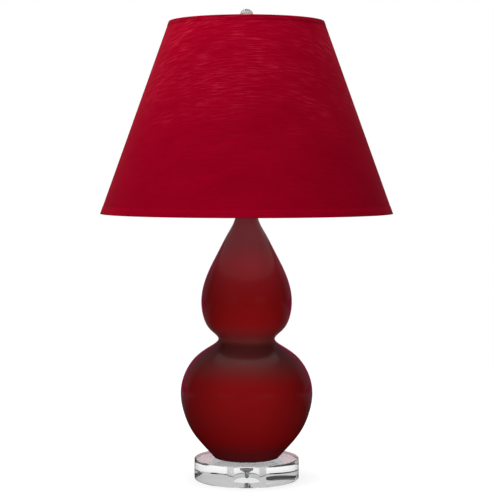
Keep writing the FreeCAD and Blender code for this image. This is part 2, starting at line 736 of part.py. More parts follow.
def make_socket_shells():
    sheet_wall = size.socket_sheet
    hub = size.cap_hub_radius
    hub_top = size.cap_hub_height
    wide = size.socket_cap_radius
    dome_top = hub_top + dome_rise
    dome = size.dome_curve
    inside = wide - sheet_wall
    turned("socket_cap", [
        (seat_radius, ZERO),
        (hub, ZERO),
        (hub, hub_top, dome, 1),
        (wide, dome_top),
        (wide, size.socket_cap_height),
        (inside, size.socket_cap_height),
        (inside, dome_top, dome - sheet_wall, -1),
        (hub - sheet_wall * 2, hub_top + sheet_wall),
        (seat_radius, hub_top + sheet_wall),
    ], socket_level)
    outer = inside - size.nest_gap
    inner = outer - sheet_wall
    shell = keep(doc.addObject("PartDesign::Body", "socket_shell"), "socket_shell")
    revolve(shell, "shell_turn", box_outline(inner, outer, ZERO, size.shell_height))
    lift(shell, socket_level + shell_seat)
    liner_outer = inner - size.nest_gap
    liner = keep(doc.addObject("PartDesign::Body", "shell_liner"), "shell_liner")
    revolve(liner, "liner_turn",
            box_outline(liner_outer - size.liner_wall, liner_outer, ZERO, size.shell_height - sheet_wall))
    lift(liner, socket_level + shell_seat)
    for body in (shell, liner):
        stem_opening(body, size.switch_level - shell_seat, size.socket_cap_radius)


def stem_opening(body, height, depth):
    """Round hole for the switch stem, towards the front."""
    sketch = new_sketch(body, "XZ_Plane", body.Label + "_stem_circle")
    draw_circle(sketch, size.stem_radius + size.stem_slack, ZERO, height)
    pocket = body.newObject("PartDesign::Pocket", body.Label + "_stem_hole")
    pocket.Profile = sketch
    pocket.Type = "Length"
    pocket.Reversed = True
    bind(pocket, "Length", depth)


def make_cap_set_screw():
    screw = doc.addObject("Part::Cylinder", "set_screw_rod")
    bind(screw, "Radius", size.set_screw_radius)
    bind(screw, "Height", size.set_screw_length)
    screw.Placement = Placement(Vector(0, 0, 0), Rotation(Vector(1, 0, 0), -90))
    bind(screw, "Placement.Base.y", size.cap_hub_radius)
    bind(screw, "Placement.Base.z", socket_level + size.cap_hub_height / 2)
    keep(screw, "cap_set_screw")


def wave(crest, base, turns, rising):
    """Corners of a rounded thread profile; arcs bulge out and in by half the thread's depth."""
    chord = size.thread_pitch / 2
    sagitta = size.thread_depth / 2
    radius = (chord * chord / 4 + sagitta * sagitta) / (sagitta * 2)
    middle = crest - sagitta
    corners = []
    for number in range(turns * 2):
        step = number if rising else turns * 2 - number
        outward = (number % 2 == 0) == rising
        side = 1 if outward == rising else -1
        corners.append((middle, base + chord * step, radius, side))
    return corners


def make_socket_inside():
    body = keep(doc.addObject("PartDesign::Body", "socket_insulator"), "socket_insulator")
    dish = size.insulator_height - size.insulator_dish
    well = size.cord_radius * 2
    revolve(body, "insulator_turn", [
        (well, ZERO),
        (size.insulator_radius, ZERO),
        (size.insulator_radius, size.insulator_height),
        (size.bulb_thread_radius, size.insulator_height),
        (size.bulb_thread_radius, dish),
        (ZERO, dish),
        (ZERO, dish - size.insulator_web),
        (well, dish - size.insulator_web),
    ])
    stem_opening(body, size.switch_level - size.insulator_seat, size.socket_cap_radius)
    cut_terminal_slots(body)
    lift(body, insulator_level)
    turns = int(float(size.thread_turns))
    crest = size.bulb_thread_radius + size.thread_gap
    length = size.thread_pitch * turns
    foot = thread_level - contact_level - size.thread_pitch
    corners = [
        (size.screw_shell_radius, ZERO),
        (size.screw_shell_radius, foot + length),
        (crest - size.thread_depth / 2, foot + length),
    ]
    inner = wave(crest, foot, turns, False)[1:]
    first_radius = inner[0][2]
    corners[2] = (corners[2][0], corners[2][1], first_radius, 1)
    corners += inner
    corners += [(crest - size.thread_depth / 2, foot), (crest - size.thread_depth / 2, ZERO)]
    turned("screw_shell", corners, contact_level)
    tip = size.contact_rise + size.insulator_dish
    turned("centre_contact", [
        (ZERO, ZERO),
        (size.contact_radius, ZERO),
        (size.contact_radius, size.contact_strip),
        (size.contact_tip_radius, tip),
        (ZERO, tip),
    ], contact_level - size.insulator_dish)


def cut_terminal_slots(body):
    """Flat-bottomed slots in both sides of the insulator for the terminal screws and wires."""
    sketch = new_sketch(body, "XY_Plane", "terminal_slot_outlines")
    flat = size.insulator_radius - size.terminal_slot
    beyond = size.insulator_radius + size.terminal_slot
    half = size.terminal_slot_width / 2
    draw_outline(sketch, [(flat, half * -1), (beyond, half * -1), (beyond, half), (flat, half)])
    draw_outline(sketch, [
        (beyond * -1, half * -1),
        (flat * -1, half * -1),
        (flat * -1, half),
        (beyond * -1, half),
    ])
    pocket = body.newObject("PartDesign::Pocket", "terminal_slots")
    pocket.Profile = sketch
    pocket.Type = "Length"
    pocket.Reversed = True
    bind(pocket, "Length", size.insulator_height / 2 + size.terminal_radius + size.terminal_slot_room)


def make_cords_inside():
    """Cord in the pipe, its two wires, and the screws that hold them."""
    split_level = socket_level + size.pipe_in_socket + size.lead_start
    rod = doc.addObject("Part::Cylinder", "pipe_cord_rod")
    bind(rod, "Radius", size.cord_radius)
    bind(rod, "Height", split_level - pipe_level)
    keep(rod, "pipe_cord")
    lift(rod, pipe_level)
    wire = float(size.lead_radius)
    apart = float(size.lead_radius + size.nest_gap)
    low = float(split_level)
    level = float(terminal_level)
    under = float(insulator_level - size.lead_drop)
    flat = float(size.insulator_radius - size.terminal_slot)
    screws = []
    leads = []
    for side in (-1, 1):
        way = Vector(side, 0, 0)
        seat = Vector(side * flat, 0, level)
        screw = Part.makeCylinder(float(size.terminal_radius), float(size.terminal_depth), seat, way)
        across = side * (flat + float(size.terminal_depth) / 2)
        points = [
            Vector(side * apart, 0, low),
            Vector(side * apart, 0, (low + under) / 2),
            Vector(across, 0, under),
            Vector(across, 0, level),
        ]
        leads.append(bent_wire(points, wire).cut(screw))
        screws.append(screw)
    free_shape("socket_leads", Part.makeCompound(leads))
    free_shape("terminal_screws", Part.makeCompound(screws))


def make_switch():
    stem = doc.addObject("Part::Cylinder", "switch_stem_rod")
    bind(stem, "Radius", size.stem_radius)
    bind(stem, "Height", knob_seat + size.knob_length - size.knob_end_wall - size.stem_depth)
    stem.Placement = Placement(Vector(0, 0, 0), Rotation(Vector(1, 0, 0), 90))
    bind(stem, "Placement.Base.y", size.stem_depth * -1)
    bind(stem, "Placement.Base.z", knob_level)
    keep(stem, "switch_stem")
    body = keep(doc.addObject("PartDesign::Body", "switch_knob"), "switch_knob")
    bore_end = size.knob_length - size.knob_end_wall
    revolve(body, "knob_turn", [
        (size.stem_radius, ZERO),
        (size.knob_nose, ZERO),
        (size.knob_radius, size.knob_taper),
        (size.knob_radius, size.knob_length - size.knob_edge),
        (size.knob_radius - size.knob_edge, size.knob_length),
        (ZERO, size.knob_length),
        (ZERO, bore_end),
        (size.stem_radius, bore_end),
    ])
    sketch = new_sketch(body, "XY_Plane", "flute_circle")
    draw_circle(sketch, size.knob_flute, size.knob_radius + size.flute_offset, ZERO)
    flute = body.newObject("PartDesign::Pocket", "flute")
    flute.Profile = sketch
    flute.Type = "Length"
    flute.Reversed = True
    bind(flute, "Length", size.knob_length)
    doc.recompute()
    flutes = body.newObject("PartDesign::PolarPattern", "flutes")
    flutes.Originals = [flute]
    flutes.Axis = (sketch, ["N_Axis"])
    flutes.Angle = 360
    bind(flutes, "Occurrences", size.knob_flutes)
    body.Tip = flutes
    body.Placement = Placement(Vector(0, 0, 0), Rotation(Vector(1, 0, 0), 90))
    bind(body, "Placement.Base.y", knob_seat * -1)
    bind(body, "Placement.Base.z", knob_level)


def make_bulb():
    tip = size.bulb_tip_height
    skirt = tip + size.bulb_insulator_height
    turns = int(float(size.thread_turns)) - 1
    thread_top = skirt + size.thread_pitch * turns
    crest = size.bulb_thread_radius
    middle = crest - size.thread_depth / 2
    wall = size.bulb_cap_wall
    cap_top = thread_top + size.bulb_neck_height / 2
    turned("bulb_tip", [
        (ZERO, ZERO),
        (size.button_face, ZERO),
        (size.button_radius, tip),
        (ZERO, tip),
    ], bulb_level)
    turned("bulb_insulator", [
        (ZERO, tip),
        (size.bulb_insulator_radius, tip),
        (middle - wall, skirt),
        (ZERO, skirt),
    ], bulb_level)
    outer = wave(crest, skirt, turns, True)
    corners = [(middle - wall, skirt)] + outer
    corners += [(middle, thread_top), (middle, cap_top), (middle - wall, cap_top)]
    turned("bulb_cap", corners, bulb_level)
    neck = middle - wall / 2
    neck_top = cap_top + size.bulb_neck_height / 2
    bend = size.bulb_neck_curve
    ball = size.bulb_radius
    reach = ball + bend
    rise = (reach * reach - (neck + bend) * (neck + bend)).root()
    share = ball / reach
    glass = size.glass_wall
    inner_share = (ball - glass) / reach
    centre = neck_top + rise
    turned("bulb_glass", [
        (neck - glass, cap_top),
        (neck, cap_top),
        (neck, neck_top, bend, -1),
        ((neck + bend) * share, centre - rise * share, ball, 1),
        (ZERO, centre + ball),
        (ZERO, centre + ball - glass, ball - glass, -1),
        ((neck + bend) * inner_share, centre - rise * inner_share, bend + glass, 1),
        (neck - glass, neck_top),
    ], bulb_level)
    stem_top = centre - size.filament_drop
    turned("bulb_stem", [
        (ZERO, skirt),
        (middle - wall, skirt),
        (middle - wall, skirt + size.mount_foot),
        (size.mount_radius, neck_top),
        (size.mount_tip, stem_top),
        (ZERO, stem_top),
    ], bulb_level)
    legs = float(size.filament_legs)
    half = float(size.filament_reach)
    crown = half + float(size.filament_crown)
    level = float(bulb_level + stem_top)
    leg_top = level + float(size.filament_leg_rise)
    points = [
        Vector(-legs, 0, level),
        Vector(-legs, 0, leg_top),
        Vector(-half, 0, level + half),
        Vector(-half / 2, half / 2, level + crown),
        Vector(half / 2, half / 2, level + crown),
        Vector(half, 0, level + half),
        Vector(legs, 0, leg_top),
        Vector(legs, 0, level),
    ]
    free_shape("bulb_filament", bent_wire(points, float(size.filament_wire)))


def shade_slope():
    """Inward lean of the shade per unit of height."""
    return (size.shade_bottom_radius - size.shade_top_radius) / size.shade_height


def cone_ring(outward, thickness, low, high):
    """Corners of a ring that follows the shade: outer face at 'outward' from the fabric's face."""
    lean = shade_slope()
    radius = size.shade_bottom_radius + outward
    return [
        (radius - thickness - lean * low, low),
        (radius - lean * low, low),
        (radius - lean * high, high),
        (radius - thickness - lean * high, high),
    ]


def make_shade_skins():
    top = size.shade_height
    turned("shade_fabric", cone_ring(ZERO, size.fabric_thickness, ZERO, top), shade_level)
    inward = size.fabric_thickness * -1
    turned("shade_liner", cone_ring(inward, size.liner_thickness, ZERO, top), shade_level)


def hem_depth():
    """Radial depth of the hem's fold: fabric, liner, ring wire and its slack."""
    return size.fabric_thickness + size.liner_thickness + size.ring_wire * 2 + size.hem_slack


def make_trims():
    lean = shade_slope()
    cloth = size.trim_thickness
    depth = hem_depth()
    for label, edge, way, inner_width in (
            ("shade_bottom_trim", ZERO, 1, size.trim_inner_width),
            ("shade_top_trim", size.shade_height, -1, size.top_trim_inner_width)):
        outer_end = edge + size.trim_width * way
        inner_end = edge + inner_width * way
        fold = edge - cloth * way
        radius = size.shade_bottom_radius
        inside = radius - depth
        corners = [
            (radius - lean * outer_end, outer_end),
            (radius + cloth - lean * outer_end, outer_end),
            (radius + cloth - lean * edge, edge),
            (radius - lean * fold, fold),
            (inside - lean * fold, fold),
            (inside - cloth - lean * edge, edge),
            (inside - cloth - lean * inner_end, inner_end),
            (inside - lean * inner_end, inner_end),
            (inside - lean * edge, edge),
            (radius - lean * edge, edge),
        ]
        turned(label, corners, shade_level)


def ring_radius(height):
    """Radius of a shade ring's centre line at a height over the bottom rim."""
    skins = size.fabric_thickness + size.liner_thickness + size.ring_wire + size.ring_gap
    return size.shade_bottom_radius - skins - shade_slope() * height


def make_shade_rings():
    for label, height in (("shade_bottom_ring", size.ring_wire),
                          ("shade_top_ring", size.shade_height - size.ring_wire)):
        ring = doc.addObject("Part::Torus", label + "_wire")
        bind(ring, "Radius1", ring_radius(height))
        bind(ring, "Radius2", size.ring_wire)
        keep(ring, label)
        lift(ring, shade_level + height)


def make_spider():
    turned("spider_hub",
           box_outline(size.stud_radius + size.hub_slack, size.hub_radius, ZERO, size.hub_thickness),
           hub_level)
    doc.recompute()
    wire = float(size.ring_wire)
    height = size.shade_height - size.ring_wire
    ring = float(ring_radius(height))
    weld_level = float(shade_level + height) - 2 * wire
    hub_middle = float(hub_level) + float(size.hub_thickness) + wire
    blocks = [part.Shape for part in parts if part.Label in ("shade_top_ring", "spider_hub")]
    arms = []
    count = int(float(size.arm_count))
    for number in range(count):
        angle = math.pi / 2 + number * 2 * math.pi / count
        way = Vector(math.cos(angle), math.sin(angle), 0)
        points = [
            way * (float(size.hub_radius) - 2 * wire) + Vector(0, 0, hub_middle),
            way * (ring - float(size.arm_bend)) + Vector(0, 0, hub_middle),
            way * ring + Vector(0, 0, weld_level),
        ]
        arm = bent_wire(points, wire, [float(size.arm_bend) / 2])
        for block in blocks:
            arm = arm.cut(block)
        arms.append(max(arm.Solids, key=lambda solid: solid.Volume))
    free_shape("spider_arms", Part.makeCompound(arms))


def make_shade_seam():
    """Overlap of the cloth, straight up the back, inside the shade."""
    lean = float(shade_slope())
    half = float(size.seam_width) / 2
    low = float(size.trim_inner_width + size.seam_gap)
    high = float(size.shade_height) - low
    skins = size.fabric_thickness + size.liner_thickness + size.nest_gap
    face = float(size.shade_bottom_radius - skins)
    inner = face - float(size.trim_thickness)
    section = []
    for radius, height in ((face, low), (face, high), (inner, high), (inner, low)):
        section.append(Vector(0, radius - lean * height, height))
    section.append(section[0])
    strip = Part.Face(Part.makePolygon(section))
    turn = math.degrees(2 * half / float(size.shade_bottom_radius))
    shape = strip.revolve(Vector(0, 0, 0), Vector(0, 0, 1), turn)
    shape.rotate(Vector(0, 0, 0), Vector(0, 0, 1), -turn / 2)
    thing = free_shape("shade_seam", Part.Solid(shape) if shape.ShapeType == "Shell" else shape)
    lift(thing, shade_level)


def make_finial():
    bore = size.stud_radius + size.run_fit
    base = size.finial_base_height
    rim = size.finial_base_radius
    neck = size.finial_neck_radius
    rim_top = size.finial_rim_height
    cove = size.finial_cove_height
    shelf = cove * size.finial_shelf
    middle = neck + (rim - neck) / 2
    turned("finial_base", [
        (bore, ZERO),
        (rim, ZERO),
        (rim, rim_top),
        (middle, rim_top + shelf),
        (middle, rim_top + cove - shelf),
        (neck, rim_top + cove),
        (neck, base),
        (bore, base),
    ], finial_level)
    ball = doc.addObject("Part::Sphere", "finial_sphere")
    bind(ball, "Radius", size.finial_ball_radius)
    lift(ball, finial_level + base + size.finial_ball_radius - size.run_fit)
    bore_rod = doc.addObject("Part::Cylinder", "finial_bore")
    bind(bore_rod, "Radius", bore)
    bind(bore_rod, "Height", size.finial_bore_depth)
    lift(bore_rod, finial_level)
    collar = doc.addObject("Part::Cylinder", "finial_collar")
    bind(collar, "Radius", neck)
    bind(collar, "Height", base)
    lift(collar, finial_level)
    drilled = doc.addObject("Part::Cut", "finial_drilled")
    drilled.Base = ball
    drilled.Tool = bore_rod
    seated = doc.addObject("Part::Cut", "finial_seated")
    seated.Base = drilled
    seated.Tool = collar
    keep(seated, "finial_ball")


def cord_route():
    """Points of the free cord, chosen by hand: out of the pipe, back through the base, to the coil."""
    return [
        Vector(0, 0, 11.0),
        Vector(0, 0, 7.9),
        Vector(0.1, 1.6, 5.2),
        Vector(0.3, 4.4, 3.8),
        Vector(0.5, 7.5, 4.0),
        Vector(0.8, 10.8, 6.2),
        Vector(1.3, 16.0, 10.6),
        Vector(1.9, 23.0, 10.7),
        Vector(2.7, 33.0, 10.0),
        Vector(3.8, 47.0, 9.8),
        Vector(5.2, 62.0, 10.2),
        Vector(7.1, 75.0, 8.2),
        Vector(9.6, 88.0, 4.4),
        Vector(12.4, 102.0, 2.8),
        Vector(17.2, 121.0, 2.7),
        Vector(20.6, 142.0, 2.8),
        Vector(25.4, 164.0, 2.7),
        Vector(29.2, 186.0, 2.8),
    ]


def tail_route():
    """Points of the cord's end, chosen by hand: off the coil's top turn and into the plug."""
    return [
        Vector(-24.7, 220.3, 12.4),
        Vector(-28.0, 210.9, 12.9),
        Vector(-27.2, 201.2, 14.6),
        Vector(-22.3, 192.6, 17.0),
        Vector(-14.1, 186.6, 19.6),
        Vector(-3.8, 184.3, 21.6),
        Vector(5.2, 186.4, 22.6),
        Vector(12.4, 191.6, 22.6),
    ]


def report_cord(label, radius, shape, length, radii):
    """Print what a cord's solid measures."""
    section = math.pi * radius * radius
    share = shape.Volume / (section * length)
    print("%s: length %.1f, volume share %.4f" % (label, length, share))
    print("  radii: " + ", ".join("%.1f" % value for value in radii))


def make_free_cord():
    radius = float(size.cord_radius)
    coil = coil_solid()
    for label, points in (("cord_tube", cord_route()), ("cord_tail", tail_route())):
        path, bends = rounded_path(points)
        shape = round_bar(path, points[0], points[1] - points[0], radius)
        report_cord(label, radius, shape, path.Length, bends)
        trimmed = shape.cut(coil)
        free_shape(label, max(trimmed.Solids, key=lambda solid: solid.Volume))
    free_shape("cord_coil", coil)


def coil_solid():
    """Outer shape of the neat round coil, with a shallow notch where its tie passes under it."""
    middle = float(size.coil_radius)
    half = float(size.coil_half_width)
    height = float(size.coil_height)
    centre = Vector(0, float(size.coil_offset), 0)
    ring = Part.makeCylinder(middle + half, height, centre)
    ring = ring.cut(Part.makeCylinder(middle - half, height, centre))
    ring = ring.makeFillet(float(size.coil_edge), ring.Edges)
    thickness = float(size.tie_thickness)
    width = float(size.tie_width)
    spare = float(size.cut_spare)
    corner = centre + Vector(-width / 2, middle - half - spare, 0)
    notch = Part.makeBox(width, 2 * (half + spare), thickness, corner)
    return ring.cut(notch)


def make_cord_tie():
    """Strap around the coil's section, behind its centre."""
    middle = float(size.coil_radius)
    half = float(size.coil_half_width)
    height = float(size.coil_height)
    thickness = float(size.tie_thickness)
    width = float(size.tie_width)
    gap = float(size.nest_gap)
    start = Vector(-width / 2, float(size.coil_offset) + middle - half - thickness - gap, 0)
    outer = Part.makeBox(width, 2 * (half + thickness + gap), height + thickness + gap, start)
    inside = start + Vector(0, thickness, thickness)
    hollow = Part.makeBox(width, 2 * (half + gap), height + gap - thickness, inside)
    strap = outer.cut(hollow).cut(coil_solid())
    free_shape("cord_tie", max(strap.Solids, key=lambda solid: solid.Volume))


def make_plug():
    """Moulded plug with its strain relief, lying on the coil and pointing away from its cord."""
    points = tail_route()
    way = points[-1] - points[-2]
    way.z = 0
    turn = math.degrees(math.atan2(way.y, way.x))
    place = Placement(points[-1], Rotation(Vector(0, 0, 1), turn))
    length = float(size.plug_length)
    width = float(size.plug_width)
    height = float(size.plug_height)
    relief = float(size.relief_length)
    body = Part.makeBox(length, width, height, Vector(relief, -width / 2, -height / 2))
    back_edges = [edge for edge in body.Edges if edge.BoundBox.XMax < relief + NEAR]
    upright = [edge for edge in back_edges if edge.BoundBox.ZLength > NEAR]
    body = body.makeChamfer(float(size.relief_radius), upright)
    long_edges = [edge for edge in body.Edges if edge.BoundBox.XLength > length / 2]
    body = body.makeFillet(float(size.cord_radius), long_edges)
    ends = (float(size.cord_radius), float(size.relief_radius))
    cone = Part.makeCone(ends[0], ends[1], relief, Vector(0, 0, 0), Vector(1, 0, 0))
    body = body.fuse(cone).removeSplitter()
    blades = []
    for side in (-1, 1):
        thick = float(size.blade_thickness)
        tall = float(size.blade_height)
        corner = Vector(relief + length, side * float(size.blade_spacing) / 2 - thick / 2, -tall / 2)
        blade = Part.makeBox(float(size.blade_length), thick, tall, corner)
        hole_centre = corner + Vector(float(size.blade_hole_reach), 0, tall / 2)
        hole = Part.makeCylinder(float(size.blade_hole_radius), thick, hole_centre, Vector(0, 1, 0))
        blade = blade.cut(hole)
        blades.append(blade)
    for label, shape in (("plug_body", body), ("plug_blades", Part.makeCompound(blades))):
        thing = free_shape(label, shape)
        thing.Placement = place


def check_and_write():
    """Stop at any failed object; then write each sub-part."""
    doc.recompute()
    failed = [thing.Label for thing in doc.Objects if "Invalid" in thing.State or "Error" in thing.State]
    failed += [part.Label for part in parts if part.Shape.isNull() or not part.Shape.isValid()]
    if failed:
        raise ValueError("failed: " + ", ".join(failed))
    os.makedirs("parts", exist_ok=True)
    for part in parts:
        part.Shape.exportStep("parts/" + part.Label + ".step")
        box = part.Shape.BoundBox
        print("%-20s solids %d volume %.0f z %.2f..%.2f" % (
            part.Label, len(part.Shape.Solids), part.Shape.Volume, box.ZMin, box.ZMax))


make_base_block()
make_foot_gasket()
make_gourd_body()
make_washer_and_nut()
make_lamp_pipe()
make_neck_brassware()
make_harp_saddle()
make_harp()
make_ferrules()
make_harp_post()
make_socket_shells()
make_cap_set_screw()
make_socket_inside()
make_cords_inside()
make_switch()
make_bulb()
make_shade_skins()
make_trims()
make_shade_rings()
make_spider()
make_shade_seam()
make_finial()
make_free_cord()
make_cord_tie()
make_plug()
check_and_write()
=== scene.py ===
import math

import bmesh
import bpy
import numpy as np
from mathutils import Matrix, Vector


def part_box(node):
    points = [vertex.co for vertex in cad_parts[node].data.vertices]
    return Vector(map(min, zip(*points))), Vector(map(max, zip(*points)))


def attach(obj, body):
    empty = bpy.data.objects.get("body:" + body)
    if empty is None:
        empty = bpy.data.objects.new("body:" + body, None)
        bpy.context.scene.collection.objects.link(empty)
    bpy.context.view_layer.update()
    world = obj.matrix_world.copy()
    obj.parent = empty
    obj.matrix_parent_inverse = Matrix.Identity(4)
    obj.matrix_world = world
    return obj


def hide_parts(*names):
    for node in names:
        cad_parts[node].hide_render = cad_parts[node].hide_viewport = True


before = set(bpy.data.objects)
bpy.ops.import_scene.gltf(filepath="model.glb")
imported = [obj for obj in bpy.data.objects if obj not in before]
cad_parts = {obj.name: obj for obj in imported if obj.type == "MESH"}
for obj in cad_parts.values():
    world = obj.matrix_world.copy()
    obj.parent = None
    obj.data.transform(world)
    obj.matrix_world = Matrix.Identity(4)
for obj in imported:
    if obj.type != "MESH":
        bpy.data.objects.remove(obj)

# Double gourd table lamp: glazed ceramic body on a clear disc, empire shade in crimson cloth.
# Metres throughout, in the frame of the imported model: +Z up, the front is towards -Y.

bl_info = {
    "name": "Double gourd lamp",
    "version": (1, 0, 0),
    "blender": (4, 5, 0),
    "location": "3D View > Sidebar > Gourd lamp",
    "description": "Builds the finish of a double gourd table lamp around its packed frame",
    "category": "Add Mesh",
}

LATHE_STEPS = 256
CLOTH_ROWS = 36
CREASE = math.radians(32)

# Outer profile of the ceramic: radius and height over the foot.
FOOT_LEVEL = 0.0262
GOURD_STATIONS = (
    (0.0394, 0.0), (0.0514, 0.0132), (0.0671, 0.0330), (0.0776, 0.0578), (0.08075, 0.0778),
    (0.0772, 0.0993), (0.0636, 0.1218), (0.0439, 0.1365), (0.0345, 0.1453), (0.0437, 0.1562),
    (0.0523, 0.1708), (0.0554, 0.1903), (0.0515, 0.2151), (0.0336, 0.2542), (0.0228, 0.2748),
    (0.0153, 0.2890), (0.0126, 0.3038),
)
FOOT_LEAN = (0.88, 1.0)

# Heights at which the glaze's colour changes by painted shade and reflection, and its coat comes in: a
# middle and its reach, or where a change starts and ends.
WAIST_LEVEL, WAIST_REACH = 0.158, 0.040
FOOT_REACH = 0.034
NECK_LEVELS = (0.215, 0.270)
TOP_LEVELS = (0.262, 0.292)
COAT_LEVELS = (0.054, 0.080)
# Heights between which the lighter threads of the cloth come in: real slubs with a painted highlight
# towards the top.
SHEEN_LEVELS = (0.38, 0.50)
# How often the cloth's patterns change in a metre, along the weft and along the warp.
WEFT_SLUBS = (34.0, 950.0, 1.0)
WARP_SLUBS = (900.0, 42.0, 1.0)
CLOTH_PATCHES = (14.0, 30.0, 1.0)
SHEEN_THREADS = (46.0, 900.0, 1.0)

# Lamps: name, place, height aimed at on the axis, width, height and spread in degrees.
LAMPS = (
    ("top", (0.0, -0.15, 1.35), 0.5, 0.6, 0.6, 180.0),
    ("key", (-0.5, -0.35, 1.25), 0.5, 0.6, 0.6, 180.0),
    ("fill", (1.05, -1.7, 0.30), 0.2, 0.8, 0.8, 180.0),
    ("front", (0.01, -0.50, 0.05), 0.19, 0.13, 0.12, 60.0),
    ("rear", (0.4, 1.9, 0.75), 0.3, 0.8, 0.8, 180.0),
)
LINING_LAMP_LEVEL = 0.505
# What is mirrored, as middle and half width of a direction: two windows, and a band for chrome.
WINDOW_ACROSS = (-0.75, 0.42)
WINDOW_UPRIGHT = (0.08, 0.10)
CHROME_BAND = (0.30, 0.14)
# Directions between which the mirrored ceiling, and what is mirrored from behind, come in.
CEILING_START = (0.80, 0.95)
BEHIND_START = (0.45, 0.95)
# White that is left outside chrome's band, and lost by a ray that turned back inside a clear piece.
CHROME_DARK = 0.1
INNER_LOSS = 0.45
WHITE = (1.0, 1.0, 1.0)
# Distances on the floor at which it fades to white, ends its painted shadow under the clear disc, and
# takes on the colour that is mirrored from behind.
FLOOR_FADE = (0.35, 1.3)
FLOOR_PAINTED_SHADOW = (0.03, 0.10)
FLOOR_BEHIND = (0.15, 1.0)

# The cord's route, given point by point: out of the pipe, back through the base, to the coil.
CORD_ROUTE = (
    (0.0, 0.0, 0.0110), (0.0, 0.0, 0.0079), (0.0001, 0.0016, 0.0052), (0.0003, 0.0044, 0.0038),
    (0.0005, 0.0075, 0.0040), (0.0008, 0.0108, 0.0062), (0.0013, 0.0160, 0.0106),
    (0.0019, 0.0230, 0.0107), (0.0027, 0.0330, 0.0100), (0.0038, 0.0470, 0.0098),
    (0.0052, 0.0620, 0.0102), (0.0071, 0.0750, 0.0082), (0.0096, 0.0880, 0.0044),
    (0.0124, 0.1020, 0.0028), (0.0172, 0.1210, 0.0027), (0.0206, 0.1420, 0.0028),
    (0.0254, 0.1640, 0.0027), (0.0292, 0.1860, 0.0028),
)
TAIL_ROUTE = (
    (-0.0247, 0.2203, 0.0124), (-0.0280, 0.2109, 0.0129), (-0.0272, 0.2012, 0.0146),
    (-0.0223, 0.1926, 0.0170), (-0.0141, 0.1866, 0.0196), (-0.0038, 0.1843, 0.0216),
    (0.0052, 0.1864, 0.0226), (0.0124, 0.1916, 0.0226),
)


def length_setting(name, description, default, **more):
    """A length in metres that the user may change."""
    return bpy.props.FloatProperty(
        name=name, description=description, default=default, unit="LENGTH", **more)


def angle_setting(name, description, degrees):
    """An angle that the user may change, given in degrees."""
    return bpy.props.FloatProperty(
        name=name, description=description, default=math.radians(degrees), subtype="ANGLE")


def power_setting(name, description, default):
    """A lamp's power in watts."""
    return bpy.props.FloatProperty(name=name, description=description, default=default, subtype="POWER")


def level_setting(name, description, default):
    """A brightness, with 1 for white."""
    return bpy.props.FloatProperty(name=name, description=description, default=default, min=0)


def colour_setting(name, description, default):
    """A colour that the user may change."""
    return bpy.props.FloatVectorProperty(
        name=name, description=description, default=default, subtype="COLOR", size=3, min=0, max=1)


class LampSizes(bpy.types.PropertyGroup):
    """Sizes that the finish adds to the frame."""

    cord_length: length_setting("Cord length", "Whole length of the supply cord", 1.8)
    cord_diameter: length_setting("Cord diameter", "Outside of the cord's jacket", 0.005)
    coil_offset: length_setting("Coil offset", "Coil's centre behind the lamp's axis", 0.206)
    coil_radius: length_setting("Coil radius", "Radius at the middle of the coil's turns", 0.0285)
    hole_radius: length_setting("Cord hole", "Radius of the hole through the base", 0.00635)
    hole_level: length_setting("Cord hole height", "Height of the hole's axis", 0.0127)
    hole_turn: angle_setting("Cord hole turn", "Turn of the hole from straight back", 4.5)
    ceramic_wall: length_setting("Ceramic wall", "Wall of the gourd", 0.0046)
    weave_pitch: length_setting(
        "Weave pitch", "Distance from thread to thread of the cloth", 0.00055, precision=5)
    hem_cloth: length_setting("Hem cloth", "Thickness of the folded hem", 0.00022, precision=5)
    hem_width: length_setting("Hem width", "Outer width of the folded hem", 0.009)
    top_hem_width: length_setting("Top hem width", "Outer width of the top hem", 0.0055)
    hem_inner_width: length_setting("Hem inner width", "Inner width of the folded hem", 0.006)
    top_hem_inner_width: length_setting("Top hem inner width", "Inner width of the top hem", 0.0032)
    thread_pitch: length_setting("Pipe thread", "Pitch of the lamp pipe's thread", 0.00094, precision=5)


class LampColours(bpy.types.PropertyGroup):
    """Colours of the lamp's finishes."""

    glaze: colour_setting("Glaze", "Oxblood glaze of the gourd", (0.275, 0.0050, 0.0064))
    # Painted shade and painted reflection: the waist darker and greyer than the glaze.
    waist_shade_and_reflection: colour_setting("Waist shade and reflection", "Thick brown glaze in the waist", (0.146, 0.031, 0.031))
    # Painted shade: the foot darker than the glaze.
    foot: colour_setting("Foot painted shade", "Dark glaze at the foot", (0.080, 0.0090, 0.0105))
    # Partly thinner glaze, partly a painted reflection of the white lining, on the neck and its top.
    neck_thin_and_reflection: colour_setting("Neck glaze and reflection", "Thin mauve glaze on the neck", (0.320, 0.016, 0.024))
    top: colour_setting("Top glaze and reflection", "Glaze at the very top of the neck", (0.235, 0.021, 0.031))
    cloth: colour_setting("Cloth", "Crimson cotton of the shade", (0.44, 0.0004, 0.0195))
    # Lighter threads, shown high on the shade only, as a painted highlight on real slubs.
    slub_and_sheen: colour_setting("Slub and sheen", "Lighter thick threads of the cotton", (0.68, 0.024, 0.062))
    lining: colour_setting("Lining", "White lining of the shade", (0.84, 0.83, 0.79))
    acrylic: colour_setting("Acrylic", "Clear disc and ball", (0.985, 0.992, 0.992))
    nickel: colour_setting("Nickel", "Polished nickel fittings", (0.80, 0.78, 0.74))
    brass: colour_setting("Brass", "Screw shell, contacts and blades", (0.80, 0.58, 0.26))
    cord: colour_setting("Cord", "Silver wires under a clear jacket", (0.68, 0.69, 0.70))


